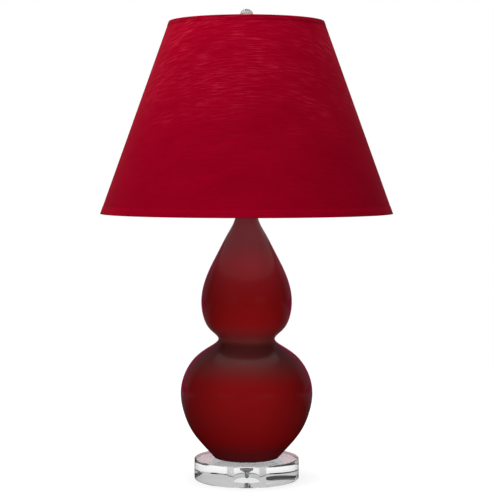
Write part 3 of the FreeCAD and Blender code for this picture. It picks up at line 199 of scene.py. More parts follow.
class LampStudio(bpy.types.PropertyGroup):
    """Light and camera of the stage."""

    top_power: power_setting("Overhead lamp", "Lamp over the shade", 10.6)
    key_power: power_setting("Key lamp", "Lamp at the shade's upper left", 4.7)
    fill_power: power_setting("Fill", "Lamp right of the camera", 1.0)
    front_power: power_setting("Front lamp", "Small lamp in front of the ceramic", 0.136)
    rear_power: power_setting("Rear lamp", "Lamp behind the object, for the views from the back", 9.0)
    lining_power: power_setting("Lining lamp", "Small lamp that whitens the inside of the shade", 0.1)
    ambient: level_setting("Ambient", "Light from all round", 0.075)
    overhead: level_setting("Mirrored ceiling", "What a glossy face mirrors from straight above", 0.4)
    window: level_setting("Mirrored windows", "Two dim squares that the glaze mirrors", 0.07)
    dark: level_setting("Mirrored room", "What a glossy face mirrors elsewhere", 0.02)
    back: level_setting("Mirrored back level", "Brightness of what is mirrored from behind", 0.28)
    rim: colour_setting(
        "Mirrored back", "What a glossy face mirrors from behind the lamp", (1.0, 0.08, 0.25))
    floor_glow: level_setting("Floor glow", "Brightness that the camera adds to the floor", 0.92)
    lens: bpy.props.FloatProperty(
        name="Lens", description="Focal length of the camera", default=112.96, subtype="DISTANCE_CAMERA")
    distance: length_setting("Distance", "Camera in front of the lamp's axis", 1.89)
    height: length_setting("Height", "Camera over the table", 0.38166)
    tilt: angle_setting("Tilt", "Camera's pitch below level", 2.955)


def sizes():
    """The lamp's sizes."""
    return bpy.context.scene.lamp_sizes


def colours():
    """The lamp's colours."""
    return bpy.context.scene.lamp_colours


# Node trees

def put(tree, kind, sockets=None, **settings):
    """Add a node. sockets maps an input's name or number to a value or to another node's output."""
    made = tree.nodes.new(kind)
    for name, value in settings.items():
        setattr(made, name, value)
    for key, value in (sockets or {}).items():
        if isinstance(value, bpy.types.NodeSocket):
            tree.links.new(value, made.inputs[key])
        else:
            made.inputs[key].default_value = value
    return made


def feed(node, **outputs):
    """Link outputs to a node's inputs; an underscore stands for a space."""
    for label, output in outputs.items():
        node.id_data.links.new(output, node.inputs[label.replace("_", " ")])


def calc(tree, operation, *values):
    """Output of a math node."""
    return put(tree, "ShaderNodeMath", dict(enumerate(values)), operation=operation).outputs[0]


def split(tree, vector):
    """X, Y and Z outputs of a vector."""
    return put(tree, "ShaderNodeSeparateXYZ", {0: vector}).outputs


def ramp(tree, value, start, end, low=0.0, high=1.0, smooth=False):
    """Carry a value from the range start..end to low..high, straight or eased."""
    return put(tree, "ShaderNodeMapRange", {
        "Value": value, "From Min": start, "From Max": end, "To Min": low, "To Max": high,
    }, interpolation_type="SMOOTHSTEP" if smooth else "LINEAR").outputs[0]


def new_tree(name, inputs):
    """A geometry tree with named inputs and its input and output nodes."""
    tree = bpy.data.node_groups.new(name, "GeometryNodeTree")
    tree.interface.new_socket("Geometry", in_out="INPUT", socket_type="NodeSocketGeometry")
    for label, kind, value in inputs:
        socket = tree.interface.new_socket(label, in_out="INPUT", socket_type=kind)
        if value is not None:
            socket.default_value = value
    tree.interface.new_socket("Geometry", in_out="OUTPUT", socket_type="NodeSocketGeometry")
    source = tree.nodes.new("NodeGroupInput")
    return tree, source


def close_tree(tree, source, geometry):
    """Real meshes with their material at the end of a tree."""
    real = put(tree, "GeometryNodeRealizeInstances", {0: geometry})
    painted = put(tree, "GeometryNodeSetMaterial", {
        "Geometry": real.outputs[0], "Material": source.outputs["Material"]})
    put(tree, "NodeGroupOutput", {0: painted.outputs[0]})


def lathe_tree():
    """Turns a profile of (radius, 0, height) points about the upright axis."""
    tree, source = new_tree("turn about the axis", (
        ("Steps", "NodeSocketInt", LATHE_STEPS),
        ("Closed", "NodeSocketInt", 1),
        ("Material", "NodeSocketMaterial", None),
    ))
    profile = source.outputs["Geometry"]
    count = put(tree, "GeometryNodeAttributeDomainSize", {0: profile}).outputs["Point Count"]
    rows = calc(tree, "ADD", count, source.outputs["Closed"])
    columns = calc(tree, "ADD", source.outputs["Steps"], 1.0)
    grid = put(tree, "GeometryNodeMeshGrid", {
        "Size X": 1.0, "Size Y": 1.0, "Vertices X": columns, "Vertices Y": rows})
    here = put(tree, "GeometryNodeInputPosition").outputs[0]
    place = split(tree, here)
    share = calc(tree, "ADD", place["X"], 0.5)
    row_share = calc(tree, "ADD", place["Y"], 0.5)
    last_row = calc(tree, "SUBTRACT", rows, 1.0)
    row = calc(tree, "ROUND", calc(tree, "MULTIPLY", row_share, last_row))
    index = calc(tree, "MODULO", row, count)
    sample = put(tree, "GeometryNodeSampleIndex", {"Geometry": profile, "Index": index},
                 data_type="FLOAT_VECTOR")
    feed(sample, Value=here)
    point = split(tree, sample.outputs[0])
    angle = calc(tree, "MULTIPLY_ADD", share, math.tau, math.pi / 2)
    across = calc(tree, "MULTIPLY", point["X"], calc(tree, "COSINE", angle))
    along = calc(tree, "MULTIPLY", point["X"], calc(tree, "SINE", angle))
    target = put(tree, "ShaderNodeCombineXYZ", {"X": across, "Y": along, "Z": point["Z"]})
    moved = put(tree, "GeometryNodeSetPosition", {
        "Geometry": grid.outputs[0], "Position": target.outputs[0]})
    merged = put(tree, "GeometryNodeMergeByDistance", {"Geometry": moved.outputs[0], "Distance": 1e-6})
    close_tree(tree, source, merged.outputs[0])
    return tree


def thread_tree():
    """A thread's ridge: one wire wound up a rod."""
    tree, source = new_tree("thread ridge", (
        ("Radius", "NodeSocketFloat", 0.005),
        ("Pitch", "NodeSocketFloat", 0.001),
        ("Turns", "NodeSocketFloat", 6.0),
        ("Ridge", "NodeSocketFloat", 0.0002),
        ("Material", "NodeSocketMaterial", None),
    ))
    radius = source.outputs["Radius"]
    height = calc(tree, "MULTIPLY", source.outputs["Pitch"], source.outputs["Turns"])
    spiral = put(tree, "GeometryNodeCurveSpiral", {
        "Resolution": 48, "Rotations": source.outputs["Turns"], "Start Radius": radius,
        "End Radius": radius, "Height": height,
    })
    section = put(tree, "GeometryNodeCurvePrimitiveCircle", {
        "Resolution": 6, "Radius": source.outputs["Ridge"]})
    wire = put(tree, "GeometryNodeCurveToMesh", {
        "Curve": spiral.outputs[0], "Profile Curve": section.outputs[0], "Fill Caps": True,
    })
    close_tree(tree, source, wire.outputs[0])
    return tree


def new_object(name, data):
    """An object of its data, in the scene."""
    made = bpy.data.objects.new(name, data)
    bpy.context.scene.collection.objects.link(made)
    return made


def plain_mesh(piece):
    """A piece's mesh with its modifiers worked out."""
    bpy.context.view_layer.update()
    graph = bpy.context.evaluated_depsgraph_get()
    return bpy.data.meshes.new_from_object(piece.evaluated_get(graph))


def grown(name, mesh, tree, material, values):
    """Object of a geometry tree's result on a mesh, as a plain mesh."""
    source = new_object(name + "_source", mesh)
    modifier = source.modifiers.new("growth", "NODES")
    modifier.node_group = tree
    named = {item.name: item.identifier for item in tree.interface.items_tree if item.in_out == "INPUT"}
    for label, value in dict(values, Material=material).items():
        modifier[named[label]] = value
    plain = plain_mesh(source)
    bpy.data.objects.remove(source)
    plain.name = name
    return new_object(name, plain)


def tidy_faces(piece, crease=CREASE):
    """Faces outwards and smooth, with sharp edges kept."""
    work = bmesh.new()
    work.from_mesh(piece.data)
    bmesh.ops.recalc_face_normals(work, faces=work.faces)
    work.to_mesh(piece.data)
    work.free()
    piece.data.polygons.foreach_set("use_smooth", [True] * len(piece.data.polygons))
    piece.data.set_sharp_from_angle(angle=crease)
    return piece


def turned(name, profile, material, closed=True, steps=LATHE_STEPS, crease=CREASE):
    """A turned piece from (radius, height) points; an open profile ends on the axis."""
    mesh = bpy.data.meshes.new(name + "_profile")
    mesh.from_pydata([(radius, 0.0, height) for radius, height in profile], [], [])
    values = {"Steps": steps, "Closed": int(closed)}
    return tidy_faces(grown(name, mesh, TREES["lathe"], material, values), crease)


def mesh_piece(name, points, faces, material, crease=CREASE):
    """A piece from its points and faces."""
    mesh = bpy.data.meshes.new(name)
    mesh.from_pydata([tuple(point) for point in points], [], faces)
    mesh.materials.append(material)
    return tidy_faces(new_object(name, mesh), crease)


def seat(piece, body, slot, *nodes):
    """Tie a piece to its body, in the place of CAD nodes; the slot is not used."""
    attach(piece, body)
    if nodes:
        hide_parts(*nodes)
    return piece


def paint(finish, *nodes):
    """Give CAD nodes a finish."""
    for node in nodes:
        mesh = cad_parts[node].data
        mesh.materials.clear()
        mesh.materials.append(FINISH[finish])


def rim_radii(node, level):
    """Smallest and largest radius of a node's corners at a level."""
    near = 5e-5
    points = [vertex.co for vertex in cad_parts[node].data.vertices]
    radii = [math.hypot(point.x, point.y) for point in points if abs(point.z - level) < near]
    return min(radii), max(radii)


# Materials

def surface(name, **sockets):
    """A material and its surface shader, with the shader's plain values set on it."""
    made = bpy.data.materials.new(name)
    made.use_nodes = True
    shader = made.node_tree.nodes["Principled BSDF"]
    for label, value in sockets.items():
        shader.inputs[label.replace("_", " ")].default_value = value
    return made, made.node_tree, shader


def rgba(colour, scale=1.0):
    """A colour with full cover."""
    return tuple(min(1.0, channel * scale) for channel in colour) + (1.0,)


def noise(tree, coordinates, scale, detail=3.0, roughness=0.55, stretch=(1.0, 1.0, 1.0)):
    """Factor of a noise texture on stretched coordinates."""
    mapped = put(tree, "ShaderNodeMapping", {"Vector": coordinates, "Scale": stretch})
    return put(tree, "ShaderNodeTexNoise", {
        "Vector": mapped.outputs[0], "Scale": scale, "Detail": detail, "Roughness": roughness,
    }).outputs["Fac"]


def between(tree, factor, low, high):
    """Mix of two colours or numbers by a factor."""
    if isinstance(low, tuple):
        return blend(tree, factor, low, high)
    return ramp(tree, factor, 0.0, 1.0, low, high)


def object_place(tree):
    """Object coordinates."""
    return put(tree, "ShaderNodeTexCoord").outputs["Object"]


def bump(tree, shader, height, distance, strength=1.0):
    """Relief from a height in the range 0 to 1."""
    relief = put(tree, "ShaderNodeBump", {"Height": height, "Distance": distance, "Strength": strength})
    feed(shader, Normal=relief.outputs[0])


def mottled(name, colour, spread, scale, roughness, grain=0.0, stretch=(1.0, 1.0, 1.0), **sockets):
    """A finish whose colour and gloss drift slightly, with an optional fine grain."""
    made, tree, shader = surface(name, **sockets)
    place = object_place(tree)
    drift = noise(tree, place, scale, stretch=stretch)
    drifted = between(tree, drift, rgba(colour, 1 - spread), rgba(colour, 1 + spread))
    feed(shader, Base_Color=drifted, Roughness=between(tree, drift, *roughness))
    if grain:
        finer = 9
        bump(tree, shader, noise(tree, place, scale * finer, stretch=stretch), grain)
    return made


def blend(tree, factor, low, high):
    """Mix of two colours, each a value or an output."""
    mix = put(tree, "ShaderNodeMix", {"Factor": factor}, data_type="RGBA")
    for socket, value in zip([s for s in mix.inputs if s.type == "RGBA"], (low, high)):
        if isinstance(value, bpy.types.NodeSocket):
            tree.links.new(value, socket)
        else:
            socket.default_value = tuple(value)[:3] + (1.0,)
    return [s for s in mix.outputs if s.type == "RGBA"][0]


def zone(tree, level, middle, half):
    """1 at a level, easing to 0 at a distance from it."""
    away = calc(tree, "ABSOLUTE", calc(tree, "SUBTRACT", level, middle))
    return ramp(tree, away, 0.0, half, 1.0, 0.0, smooth=True)


def glaze_material():
    """Deep oxblood glaze with painted light: shade and reflection in the waist, a mauve on the neck that is
    partly painted reflection, painted shade at the foot.
    """
    made, tree, shader = surface(
        "oxblood_glaze", Specular_IOR_Level=0.0, Coat_Weight=1.0, Coat_IOR=1.5, Coat_Roughness=0.03)
    place = object_place(tree)
    drift = noise(tree, place, 9.0, detail=4.0)
    base = colours().glaze
    level = split(tree, place)["Z"]
    wave = 0.006
    waved = calc(tree, "MULTIPLY_ADD", drift, wave, calc(tree, "SUBTRACT", level, wave / 2))
    waist = zone(tree, waved, WAIST_LEVEL, WAIST_REACH)
    foot = zone(tree, waved, FOOT_LEVEL, FOOT_REACH)
    neck = ramp(tree, waved, *NECK_LEVELS, smooth=True)
    top = ramp(tree, waved, *TOP_LEVELS, smooth=True)
    colour = between(tree, drift, rgba(base, 0.88), rgba(base, 1.12))
    # Painted light: shade and reflection in the waist, a reflection of the lining on the neck and its top,
    # shade at the foot.
    for share, tint in (
            (waist, colours().waist_shade_and_reflection), (neck, colours().neck_thin_and_reflection), (top, colours().top),
            (foot, colours().foot)):
        colour = blend(tree, share, colour, tint)
    coat = ramp(tree, level, *COAT_LEVELS)
    feed(shader, Base_Color=colour, Coat_Weight=coat, Roughness=between(tree, drift, 0.32, 0.42))
    bump(tree, shader, noise(tree, place, 38.0, detail=1.0), 0.00008, 0.5)
    return made


def acrylic_material():
    """Cast acrylic, clear, with the faintest haze."""
    made, tree, shader = surface(
        "clear_acrylic", Transmission_Weight=1.0, IOR=1.49, Base_Color=rgba(colours().acrylic))
    drift = noise(tree, object_place(tree), 60.0)
    feed(shader, Roughness=between(tree, drift, 0.0, 0.012))
    return made


def cloth_material(name, painted_light_scale):
    """Plain-woven cotton with slubs, whose lighter threads show towards the top as a painted highlight; the
    pattern lies in the cloth's own flat map, in metres. The scale paints light and shade on copies of the
    cloth.
    """
    made, tree, shader = surface(
        name, Diffuse_Roughness=0.4, Sheen_Weight=0.05, Sheen_Roughness=0.35,
        Sheen_Tint=(1.0, 0.5, 0.55, 1.0), Specular_IOR_Level=0.0)
    flat = put(tree, "ShaderNodeUVMap", uv_map="cloth").outputs[0]
    place = split(tree, flat)
    pitch = sizes().weave_pitch
    weft_slub = noise(tree, flat, 1.0, detail=4.0, roughness=0.62, stretch=WEFT_SLUBS)
    warp_slub = noise(tree, flat, 1.0, detail=3.0, roughness=0.5, stretch=WARP_SLUBS)
    patch = noise(tree, flat, 1.0, detail=3.0, stretch=CLOTH_PATCHES)
    weft, warp = [
        calc(tree, "SINE", calc(tree, "MULTIPLY", place[way], math.tau / pitch)) for way in "YX"]
    crossing = calc(tree, "MULTIPLY_ADD", calc(tree, "MULTIPLY", weft, warp), 0.5, 0.5)
    streak = calc(tree, "MULTIPLY_ADD", weft_slub, 1.5, calc(tree, "MULTIPLY", warp_slub, 0.35))
    streak = calc(tree, "MULTIPLY_ADD", patch, 0.5, streak)
    thread = calc(tree, "MULTIPLY_ADD", crossing, 0.10, streak)
    tone = ramp(tree, thread, 0.85, 1.6)
    base = tuple(channel * painted_light_scale for channel in colours().cloth)
    ground = between(tree, tone, rgba(base, 0.84), rgba(base, 1.16))
    # Painted highlight: lighter slub threads only towards the top, where the shade is lit most.
    lustre = noise(tree, flat, 1.0, detail=2.0, roughness=0.6, stretch=SHEEN_THREADS)
    speck = ramp(tree, lustre, 0.50, 0.66)
    height = split(tree, object_place(tree))["Z"]
    upper = ramp(tree, height, *SHEEN_LEVELS, 0.12, 0.90, smooth=True)
    spread = ramp(tree, patch, 0.35, 0.65)
    share = calc(tree, "MULTIPLY", speck, calc(tree, "MULTIPLY", upper, spread))
    thread_colour = blend(tree, share, ground, colours().slub_and_sheen)
    feed(shader, Base_Color=thread_colour, Roughness=between(tree, tone, 0.92, 0.78))
    bump(tree, shader, thread, 0.00022, 0.6)
    return made


def cord_material():
    """Silver wires twisted under a clear jacket; the pattern follows the cord's own map."""
    made, tree, shader = surface(
        "cord_jacket", Roughness=0.22, Coat_Weight=0.8, Coat_Roughness=0.08, Metallic=0.1)
    flat = put(tree, "ShaderNodeTexCoord").outputs["UV"]
    place = split(tree, flat)
    lay = 0.011
    strands = 3.0
    turns = sizes().cord_length / lay
    round_way = calc(tree, "MULTIPLY", place["Y"], strands)
    twist = calc(tree, "MULTIPLY_ADD", place["X"], turns, round_way)
    wave = calc(tree, "SINE", calc(tree, "MULTIPLY", twist, math.tau))
    tone = calc(tree, "MULTIPLY_ADD", wave, 0.5, 0.5)
    base = colours().cord
    feed(shader, Base_Color=between(tree, tone, rgba(base, 0.55), rgba(base, 1.25)))
    return made


def make_materials():
    """Every finish of the lamp, by name."""
    colour = colours()
    steel = (0.34, 0.34, 0.35)
    long_grain = (1.0, 1.0, 14.0)
    metal = {"Metallic": 1.0}
    finishes = {
        "glaze": glaze_material(),
        "acrylic": acrylic_material(),
        "cloth": cloth_material("crimson_cloth", 1.0),
        # Lit and shaded copies of the cloth: the bottom hem painted lighter, the top hem painted darker.
        "hem": cloth_material("crimson_hem", 1.1),
        "top_hem": cloth_material("crimson_top_hem", 0.86),
        "cord": cord_material(),
        "vinyl": mottled(
            "clear_vinyl", (0.86, 0.87, 0.87), 0.03, 90.0, (0.2, 0.32), Transmission_Weight=0.75),
        "nickel": mottled("polished_nickel", colour.nickel, 0.03, 45.0, (0.08, 0.15), **metal),
        "wire": mottled(
            "nickel_wire", colour.nickel, 0.06, 70.0, (0.22, 0.34), 0.00003, long_grain, **metal),
        "steel": mottled("zinc_steel", steel, 0.14, 120.0, (0.28, 0.44), 0.00004, **metal),
        "brass": mottled("brass", colour.brass, 0.08, 110.0, (0.2, 0.36), 0.00002, **metal),
        "aluminium": mottled(
            "bulb_aluminium", (0.80, 0.80, 0.81), 0.06, 90.0, (0.26, 0.4), 0.00002, **metal),
        "solder": mottled("solder", (0.52, 0.52, 0.54), 0.12, 500.0, (0.4, 0.6), 0.00005, **metal),
        "phenolic": mottled("black_phenolic", (0.020, 0.019, 0.018), 0.2, 160.0, (0.24, 0.38), 0.00002),
        "fibre": mottled("fibre_sleeve", (0.27, 0.18, 0.11), 0.22, 240.0, (0.75, 0.9), 0.00006),
        "vitrite": mottled("black_vitrite", (0.016, 0.016, 0.022), 0.2, 120.0, (0.06, 0.14)),
        "lining": mottled("white_styrene", colour.lining, 0.025, 60.0, (0.42, 0.55), 0.00003),
        "shade_wire": mottled("shade_wire", (0.72, 0.71, 0.68), 0.07, 80.0, (0.25, 0.4), 0.00003, **metal),
        "lead": mottled("lead_jacket", (0.68, 0.70, 0.72), 0.05, 100.0, (0.25, 0.35), Coat_Weight=0.5),
        "strap": mottled("tie_strap", (0.03, 0.03, 0.032), 0.3, 700.0, (0.5, 0.7), 0.00008),
        "plug": mottled(
            "plug_vinyl", (0.62, 0.64, 0.65), 0.05, 70.0, (0.3, 0.42), 0.00003, Coat_Weight=0.3),
        "frosted": mottled("frosted_glass", (0.90, 0.90, 0.88), 0.02, 60.0, (0.42, 0.5), Coat_Weight=0.6),
        "glass": mottled(
            "clear_glass", (0.92, 0.94, 0.94), 0.02, 60.0, (0.02, 0.05), Transmission_Weight=1.0),
        "filament": mottled("filament_wire", (0.25, 0.25, 0.26), 0.1, 300.0, (0.3, 0.45), **metal),
    }
    return finishes


# Shapes

def smooth_profile(stations, first_way, last_way, parts):
    """Points on the smooth curve through the stations, with its end directions given."""
    points = np.array(stations)
    gaps = np.linalg.norm(np.diff(points, axis=0), axis=1)
    count = len(points)
    system = np.eye(count)
    ways = np.zeros_like(points)
    ways[0] = np.array(first_way) / np.linalg.norm(first_way)
    ways[-1] = np.array(last_way) / np.linalg.norm(last_way)
    for number in range(1, count - 1):
        before, after = gaps[number - 1], gaps[number]
        system[number, number - 1:number + 2] = (after, 2 * (before + after), before)
        slope_before = (points[number] - points[number - 1]) / before
        slope_after = (points[number + 1] - points[number]) / after
        ways[number] = 3 * (after * slope_before + before * slope_after)
    ways = np.linalg.solve(system, ways)
    made = []
    for number in range(count - 1):
        for share in np.arange(parts) / parts:
            square, cube = share * share, share ** 3
            made.append(
                points[number] * (2 * cube - 3 * square + 1) + points[number + 1] * (3 * square - 2 * cube)
                + ways[number] * (cube - 2 * square + share) * gaps[number]
                + ways[number + 1] * (cube - square) * gaps[number])
    made.append(points[-1])
    return [tuple(point) for point in made]


def rounded(corners, reach, steps=4):
    """A closed outline with its corners rounded; reach is one length or one for each corner, 0 for none."""
    reaches = reach if isinstance(reach, list) else [reach] * len(corners)
    made = []
    for number, corner in enumerate(corners):
        if not reaches[number]:
            made.append(corner)
            continue
        here = Vector(corner)
        before = Vector(corners[number - 1]) - here
        after = Vector(corners[(number + 1) % len(corners)]) - here
        cut = min(reaches[number], before.length / 2.2, after.length / 2.2)
        start, end = here + before.normalized() * cut, here + after.normalized() * cut
        for step in range(steps + 1):
            share = step / steps
            point = start * (1 - share) ** 2 + here * 2 * share * (1 - share) + end * share ** 2
            made.append(tuple(point))
    return made


def flat_cloth_map(piece, apex, lean):
    """Lay the cloth's flat cut over a cone: the threads run level at the front."""
    layer = piece.data.uv_layers.new(name="cloth")
    for face in piece.data.polygons:
        centre_side = math.copysign(1.0, face.center.x)
        for loop in face.loop_indices:
            point = piece.data.vertices[piece.data.loops[loop].vertex_index].co
            angle = math.atan2(point.x, -point.y)
            if abs(abs(angle) - math.pi) < 1e-4:
                angle = math.copysign(math.pi, centre_side)
            reach = (apex - point.z) / math.cos(lean)
            turn = angle * math.sin(lean)
            layer.data[loop].uv = (reach * math.sin(turn), -reach * math.cos(turn))


def shade_cone():
    """Bottom and top radius and level of the cloth, its apex and its lean."""
    low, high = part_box("shade_fabric")
    bottom = rim_radii("shade_fabric", low.z)[1]
    top = rim_radii("shade_fabric", high.z)[1]
    lean = math.atan((bottom - top) / (high.z - low.z))
    apex = low.z + bottom / math.tan(lean)
    return bottom, top, low.z, high.z, apex, lean


TREES = {}
FINISH = {}


class LAMP_OT_stage(bpy.types.Operator):
    """Set up the floor, the light, the camera and the view."""

    bl_idname = "lamp.stage"
    bl_label = "Stage"

    def execute(self, context):
        studio = context.scene.lamp_studio
        make_camera(studio)
        make_world(studio)
        make_lamps(studio)
        make_floor(studio)
        context.scene.view_settings.view_transform = "Standard"
        return {"FINISHED"}


def make_camera(studio):
    """Camera at the photograph's height, distance and tilt."""
    sideways = 0.0005
    data = bpy.data.cameras.new("camera")
    data.lens = studio.lens
    data.sensor_width = 36.0
    data.clip_start = 0.05
    data.clip_end = 60.0
    camera = new_object("camera", data)
    camera.location = (sideways, -studio.distance, studio.height)
    camera.rotation_euler = (math.pi / 2 - studio.tilt, 0.0, 0.0)
    bpy.context.scene.camera = camera


def make_world(studio):
    """Even soft light; a white backdrop for the camera and through clear pieces."""
    world = bpy.data.worlds.new("studio")
    world.use_nodes = True
    bpy.context.scene.world = world
    tree = world.node_tree
    way = split(tree, put(tree, "ShaderNodeTexCoord").outputs["Generated"])
    seen, mirror, chrome = ray_kinds(tree)
    above = ramp(tree, way["Z"], *CEILING_START, 0.0, studio.overhead)
    side = calc(tree, "DIVIDE", calc(tree, "ABSOLUTE", way["X"]), way["Y"])
    across = calc(tree, "COMPARE", side, *WINDOW_ACROSS)
    upright = calc(tree, "COMPARE", way["Z"], *WINDOW_UPRIGHT)
    window = calc(tree, "MULTIPLY", across, upright)
    behind = ramp(tree, way["Y"], *BEHIND_START)
    mirrored = calc(tree, "ADD", above, studio.dark)
    mirrored = calc(tree, "MULTIPLY_ADD", window, studio.window, mirrored)
    mirrored = calc(tree, "MULTIPLY_ADD", behind, studio.back, mirrored)
    level = studio.ambient
    for share, other in ((mirror, mirrored), (seen, 1.0)):
        level = put(tree, "ShaderNodeMix", {0: share, 2: level, 3: other}, data_type="FLOAT").outputs[0]
    band = calc(tree, "MULTIPLY", calc(tree, "COMPARE", way["Z"], *CHROME_BAND), chrome)
    level = calc(tree, "MULTIPLY_ADD", band, 1 - CHROME_DARK, level)
    ground = tree.nodes["Background"]
    tinted = calc(tree, "MULTIPLY", behind, mirror)
    feed(ground, Color=blend(tree, tinted, WHITE, studio.rim), Strength=level)


def ray_kinds(tree):
    """Share of white at a ray's end; whether a bare face mirrors it, or a face behind a clear one."""
    path = put(tree, "ShaderNodeLightPath").outputs
    turned_back = calc(tree, "MINIMUM", path["Glossy Depth"], 1.0)
    clear = calc(tree, "MULTIPLY_ADD", turned_back, -INNER_LOSS, 1.0)
    cleared = calc(tree, "MULTIPLY", path["Is Transmission Ray"], clear)
    direct = calc(tree, "MAXIMUM", path["Is Camera Ray"], cleared)
    through = calc(tree, "MINIMUM", path["Transmission Depth"], 1.0)
    kept_back = calc(tree, "SUBTRACT", 1.0, path["Is Transmission Ray"])
    glossy = calc(tree, "MULTIPLY", path["Is Glossy Ray"], kept_back)
    chrome = calc(tree, "MULTIPLY", through, glossy)
    seen = calc(tree, "MAXIMUM", direct, calc(tree, "MULTIPLY", chrome, CHROME_DARK))
    mirror = calc(tree, "MULTIPLY", glossy, calc(tree, "SUBTRACT", 1.0, through))
    return seen, mirror, chrome


def area_lamp(name, place, aim, width, height, power, spread):
    """A soft rectangular lamp that faces its aim."""
    data = bpy.data.lights.new(name, "AREA")
    data.shape = "RECTANGLE"
    data.size = width
    data.size_y = height
    data.energy = power
    data.spread = math.radians(spread)
    lamp = add_lamp(data, place)
    lamp.rotation_euler = (Vector(aim) - Vector(place)).to_track_quat("-Z", "Y").to_euler()


def add_lamp(data, place):
    """Place a lamp that only lights: no ray shows it."""
    lamp = new_object(data.name, data)
    lamp.location = place
    lamp.visible_camera = lamp.visible_transmission = lamp.visible_glossy = False
    return lamp


def make_lamps(studio):
    """Lamps over the shade, at its upper left, in front of the ceramic, behind, and in the shade."""
    for name, place, aim_level, width, height, spread in LAMPS:
        power = getattr(studio, name + "_power")
        area_lamp(name, place, (0.0, 0.0, aim_level), width, height, power, spread)
    data = bpy.data.lights.new("lining", "POINT")
    data.energy = studio.lining_power
    data.shadow_soft_size = 0.02
    add_lamp(data, (0.0, 0.0, LINING_LAMP_LEVEL))


def make_floor(studio):
    """A pale floor that keeps the lamp's shadow, with a painted shadow round the base, and reads white to
    the camera.
    """
    below = 0.0002
    half = 5.0
    shadow_glow = studio.floor_glow - 0.16
    corners = [(x * half, y * half, -below) for x, y in ((-1, -1), (1, -1), (1, 1), (-1, 1))]
    mesh = bpy.data.meshes.new("floor")
    mesh.from_pydata(corners, [], [(0, 1, 2, 3)])
    floor = new_object("floor", mesh)
    made = bpy.data.materials.new("floor")
    made.use_nodes = True
    tree = made.node_tree
    tree.nodes.clear()
    seen, mirror = ray_kinds(tree)[:2]
    place = object_place(tree)
    reach = put(tree, "ShaderNodeVectorMath", {0: place}, operation="LENGTH").outputs["Value"]
    far = ramp(tree, reach, *FLOOR_FADE, smooth=True)
    matt = put(tree, "ShaderNodeBsdfDiffuse", {"Color": (0.35, 0.35, 0.35, 1.0)})
    # Painted shadow: the camera's glow on the floor is weaker round the clear disc.
    under = ramp(tree, reach, *FLOOR_PAINTED_SHADOW, shadow_glow, studio.floor_glow, smooth=True)
    glow = put(tree, "ShaderNodeEmission", {"Strength": calc(tree, "MULTIPLY", seen, under)})
    pale = put(tree, "ShaderNodeAddShader", {0: matt.outputs[0], 1: glow.outputs[0]})
    white = put(tree, "ShaderNodeEmission", {"Strength": 1.0})
    faded = calc(tree, "MULTIPLY", far, seen)
    backed = put(tree, "ShaderNodeMixShader", {0: faded, 1: pale.outputs[0], 2: white.outputs[0]})
    behind = ramp(tree, split(tree, place)["Y"], *FLOOR_BEHIND)
    dark = put(tree, "ShaderNodeEmission", {
        "Color": blend(tree, behind, WHITE, studio.rim),
        "Strength": calc(tree, "MULTIPLY_ADD", behind, studio.back, studio.dark)})
    mixed = put(tree, "ShaderNodeMixShader", {0: mirror, 1: backed.outputs[0], 2: dark.outputs[0]})
    put(tree, "ShaderNodeOutputMaterial", {"Surface": mixed.outputs[0]})
    mesh.materials.append(made)


class LAMP_OT_supply_cord(bpy.types.Operator):
    """Lay the supply cord: out of the base, into its coil and up to the plug."""

    bl_idname = "lamp.supply_cord"
    bl_label = "Supply cord"

    def execute(self, context):
        size = sizes()
        route = list(CORD_ROUTE) + coil_route() + list(TAIL_ROUTE)
        data = bpy.data.curves.new("supply_cord", "CURVE")
        data.dimensions = "3D"
        data.bevel_depth = size.cord_diameter / 2
        data.bevel_resolution = 5
        data.resolution_u = 6
        data.use_fill_caps = True
        spline = data.splines.new("NURBS")
        spline.points.add(len(route) - 1)
        for point, place in zip(spline.points, route):
            point.co = tuple(place) + (1.0,)
        spline.order_u = 3
        spline.use_endpoint_u = True
        data.materials.append(FINISH["cord"])
        cord = new_object("supply_cord", data)
        seat(cord, "base", "cord_jacket", "cord_tube", "cord_coil", "cord_tail")
        plug = make_plug()
        tie = make_tie()
        paint("brass", "plug_blades")
        return {"FINISHED"}


def coil_route():
    """Turns of the coil, three layers of three; the last turn leaves for the plug."""
    size = sizes()
    pitch = size.cord_diameter
    first_angle = -20.0
    per_turn = 16
    cross_steps = 3
    last_steps = 7
    levels = (0.0026, 0.0075, 0.0124)
    tie_lift, tie_reach = 0.0008, 0.3
    lanes = []
    for level, order in zip(levels, ((1, 0, -1), (-1, 0, 1), (1, -1, 0))):
        lanes += [(size.coil_radius + lane * pitch, level) for lane in order]
    made = []
    for number, (radius, level) in enumerate(lanes):
        last = number == len(lanes) - 1
        following = lanes[number] if last else lanes[number + 1]
        for step in range(last_steps if last else per_turn):
            share = max(0.0, (step - (per_turn - cross_steps)) / cross_steps)
            angle = math.radians(first_angle + 360.0 * step / per_turn)
            reach = radius + (following[0] - radius) * share
            height = level + (following[1] - level) * share
            if abs(math.cos(angle)) < tie_reach and math.sin(angle) > 0:
                height += tie_lift
            made.append((reach * math.cos(angle), size.coil_offset + reach * math.sin(angle), height))
    return made


def skin(name, rings, material):
    """A closed skin over rings of as many points each, with capped ends."""
    around = len(rings[0])
    last = (len(rings) - 1) * around
    faces = []
    for low in range(0, last, around):
        for step in range(around):
            following = (step + 1) % around
            faces.append((low + step, low + following, low + around + following, low + around + step))
    faces += [tuple(range(around)), tuple(range(last, last + around))]
    return mesh_piece(name, [point for ring in rings for point in ring], faces, material)


def loft(name, sections, place, material, around=40):
    """A closed skin over rounded sections (along, half width, half height, squareness)."""
    rings = []
    for along, wide, high, power in sections:
        ring = []
        for step in range(around):
            angle = math.tau * step / around
            cosine, sine = math.cos(angle), math.sin(angle)
            across = math.copysign(abs(cosine) ** (2 / power), cosine) * wide
            up = math.copysign(abs(sine) ** (2 / power), sine) * high
            ring.append(place @ Vector((along, across, up)))
        rings.append(ring)
    return skin(name, rings, material)


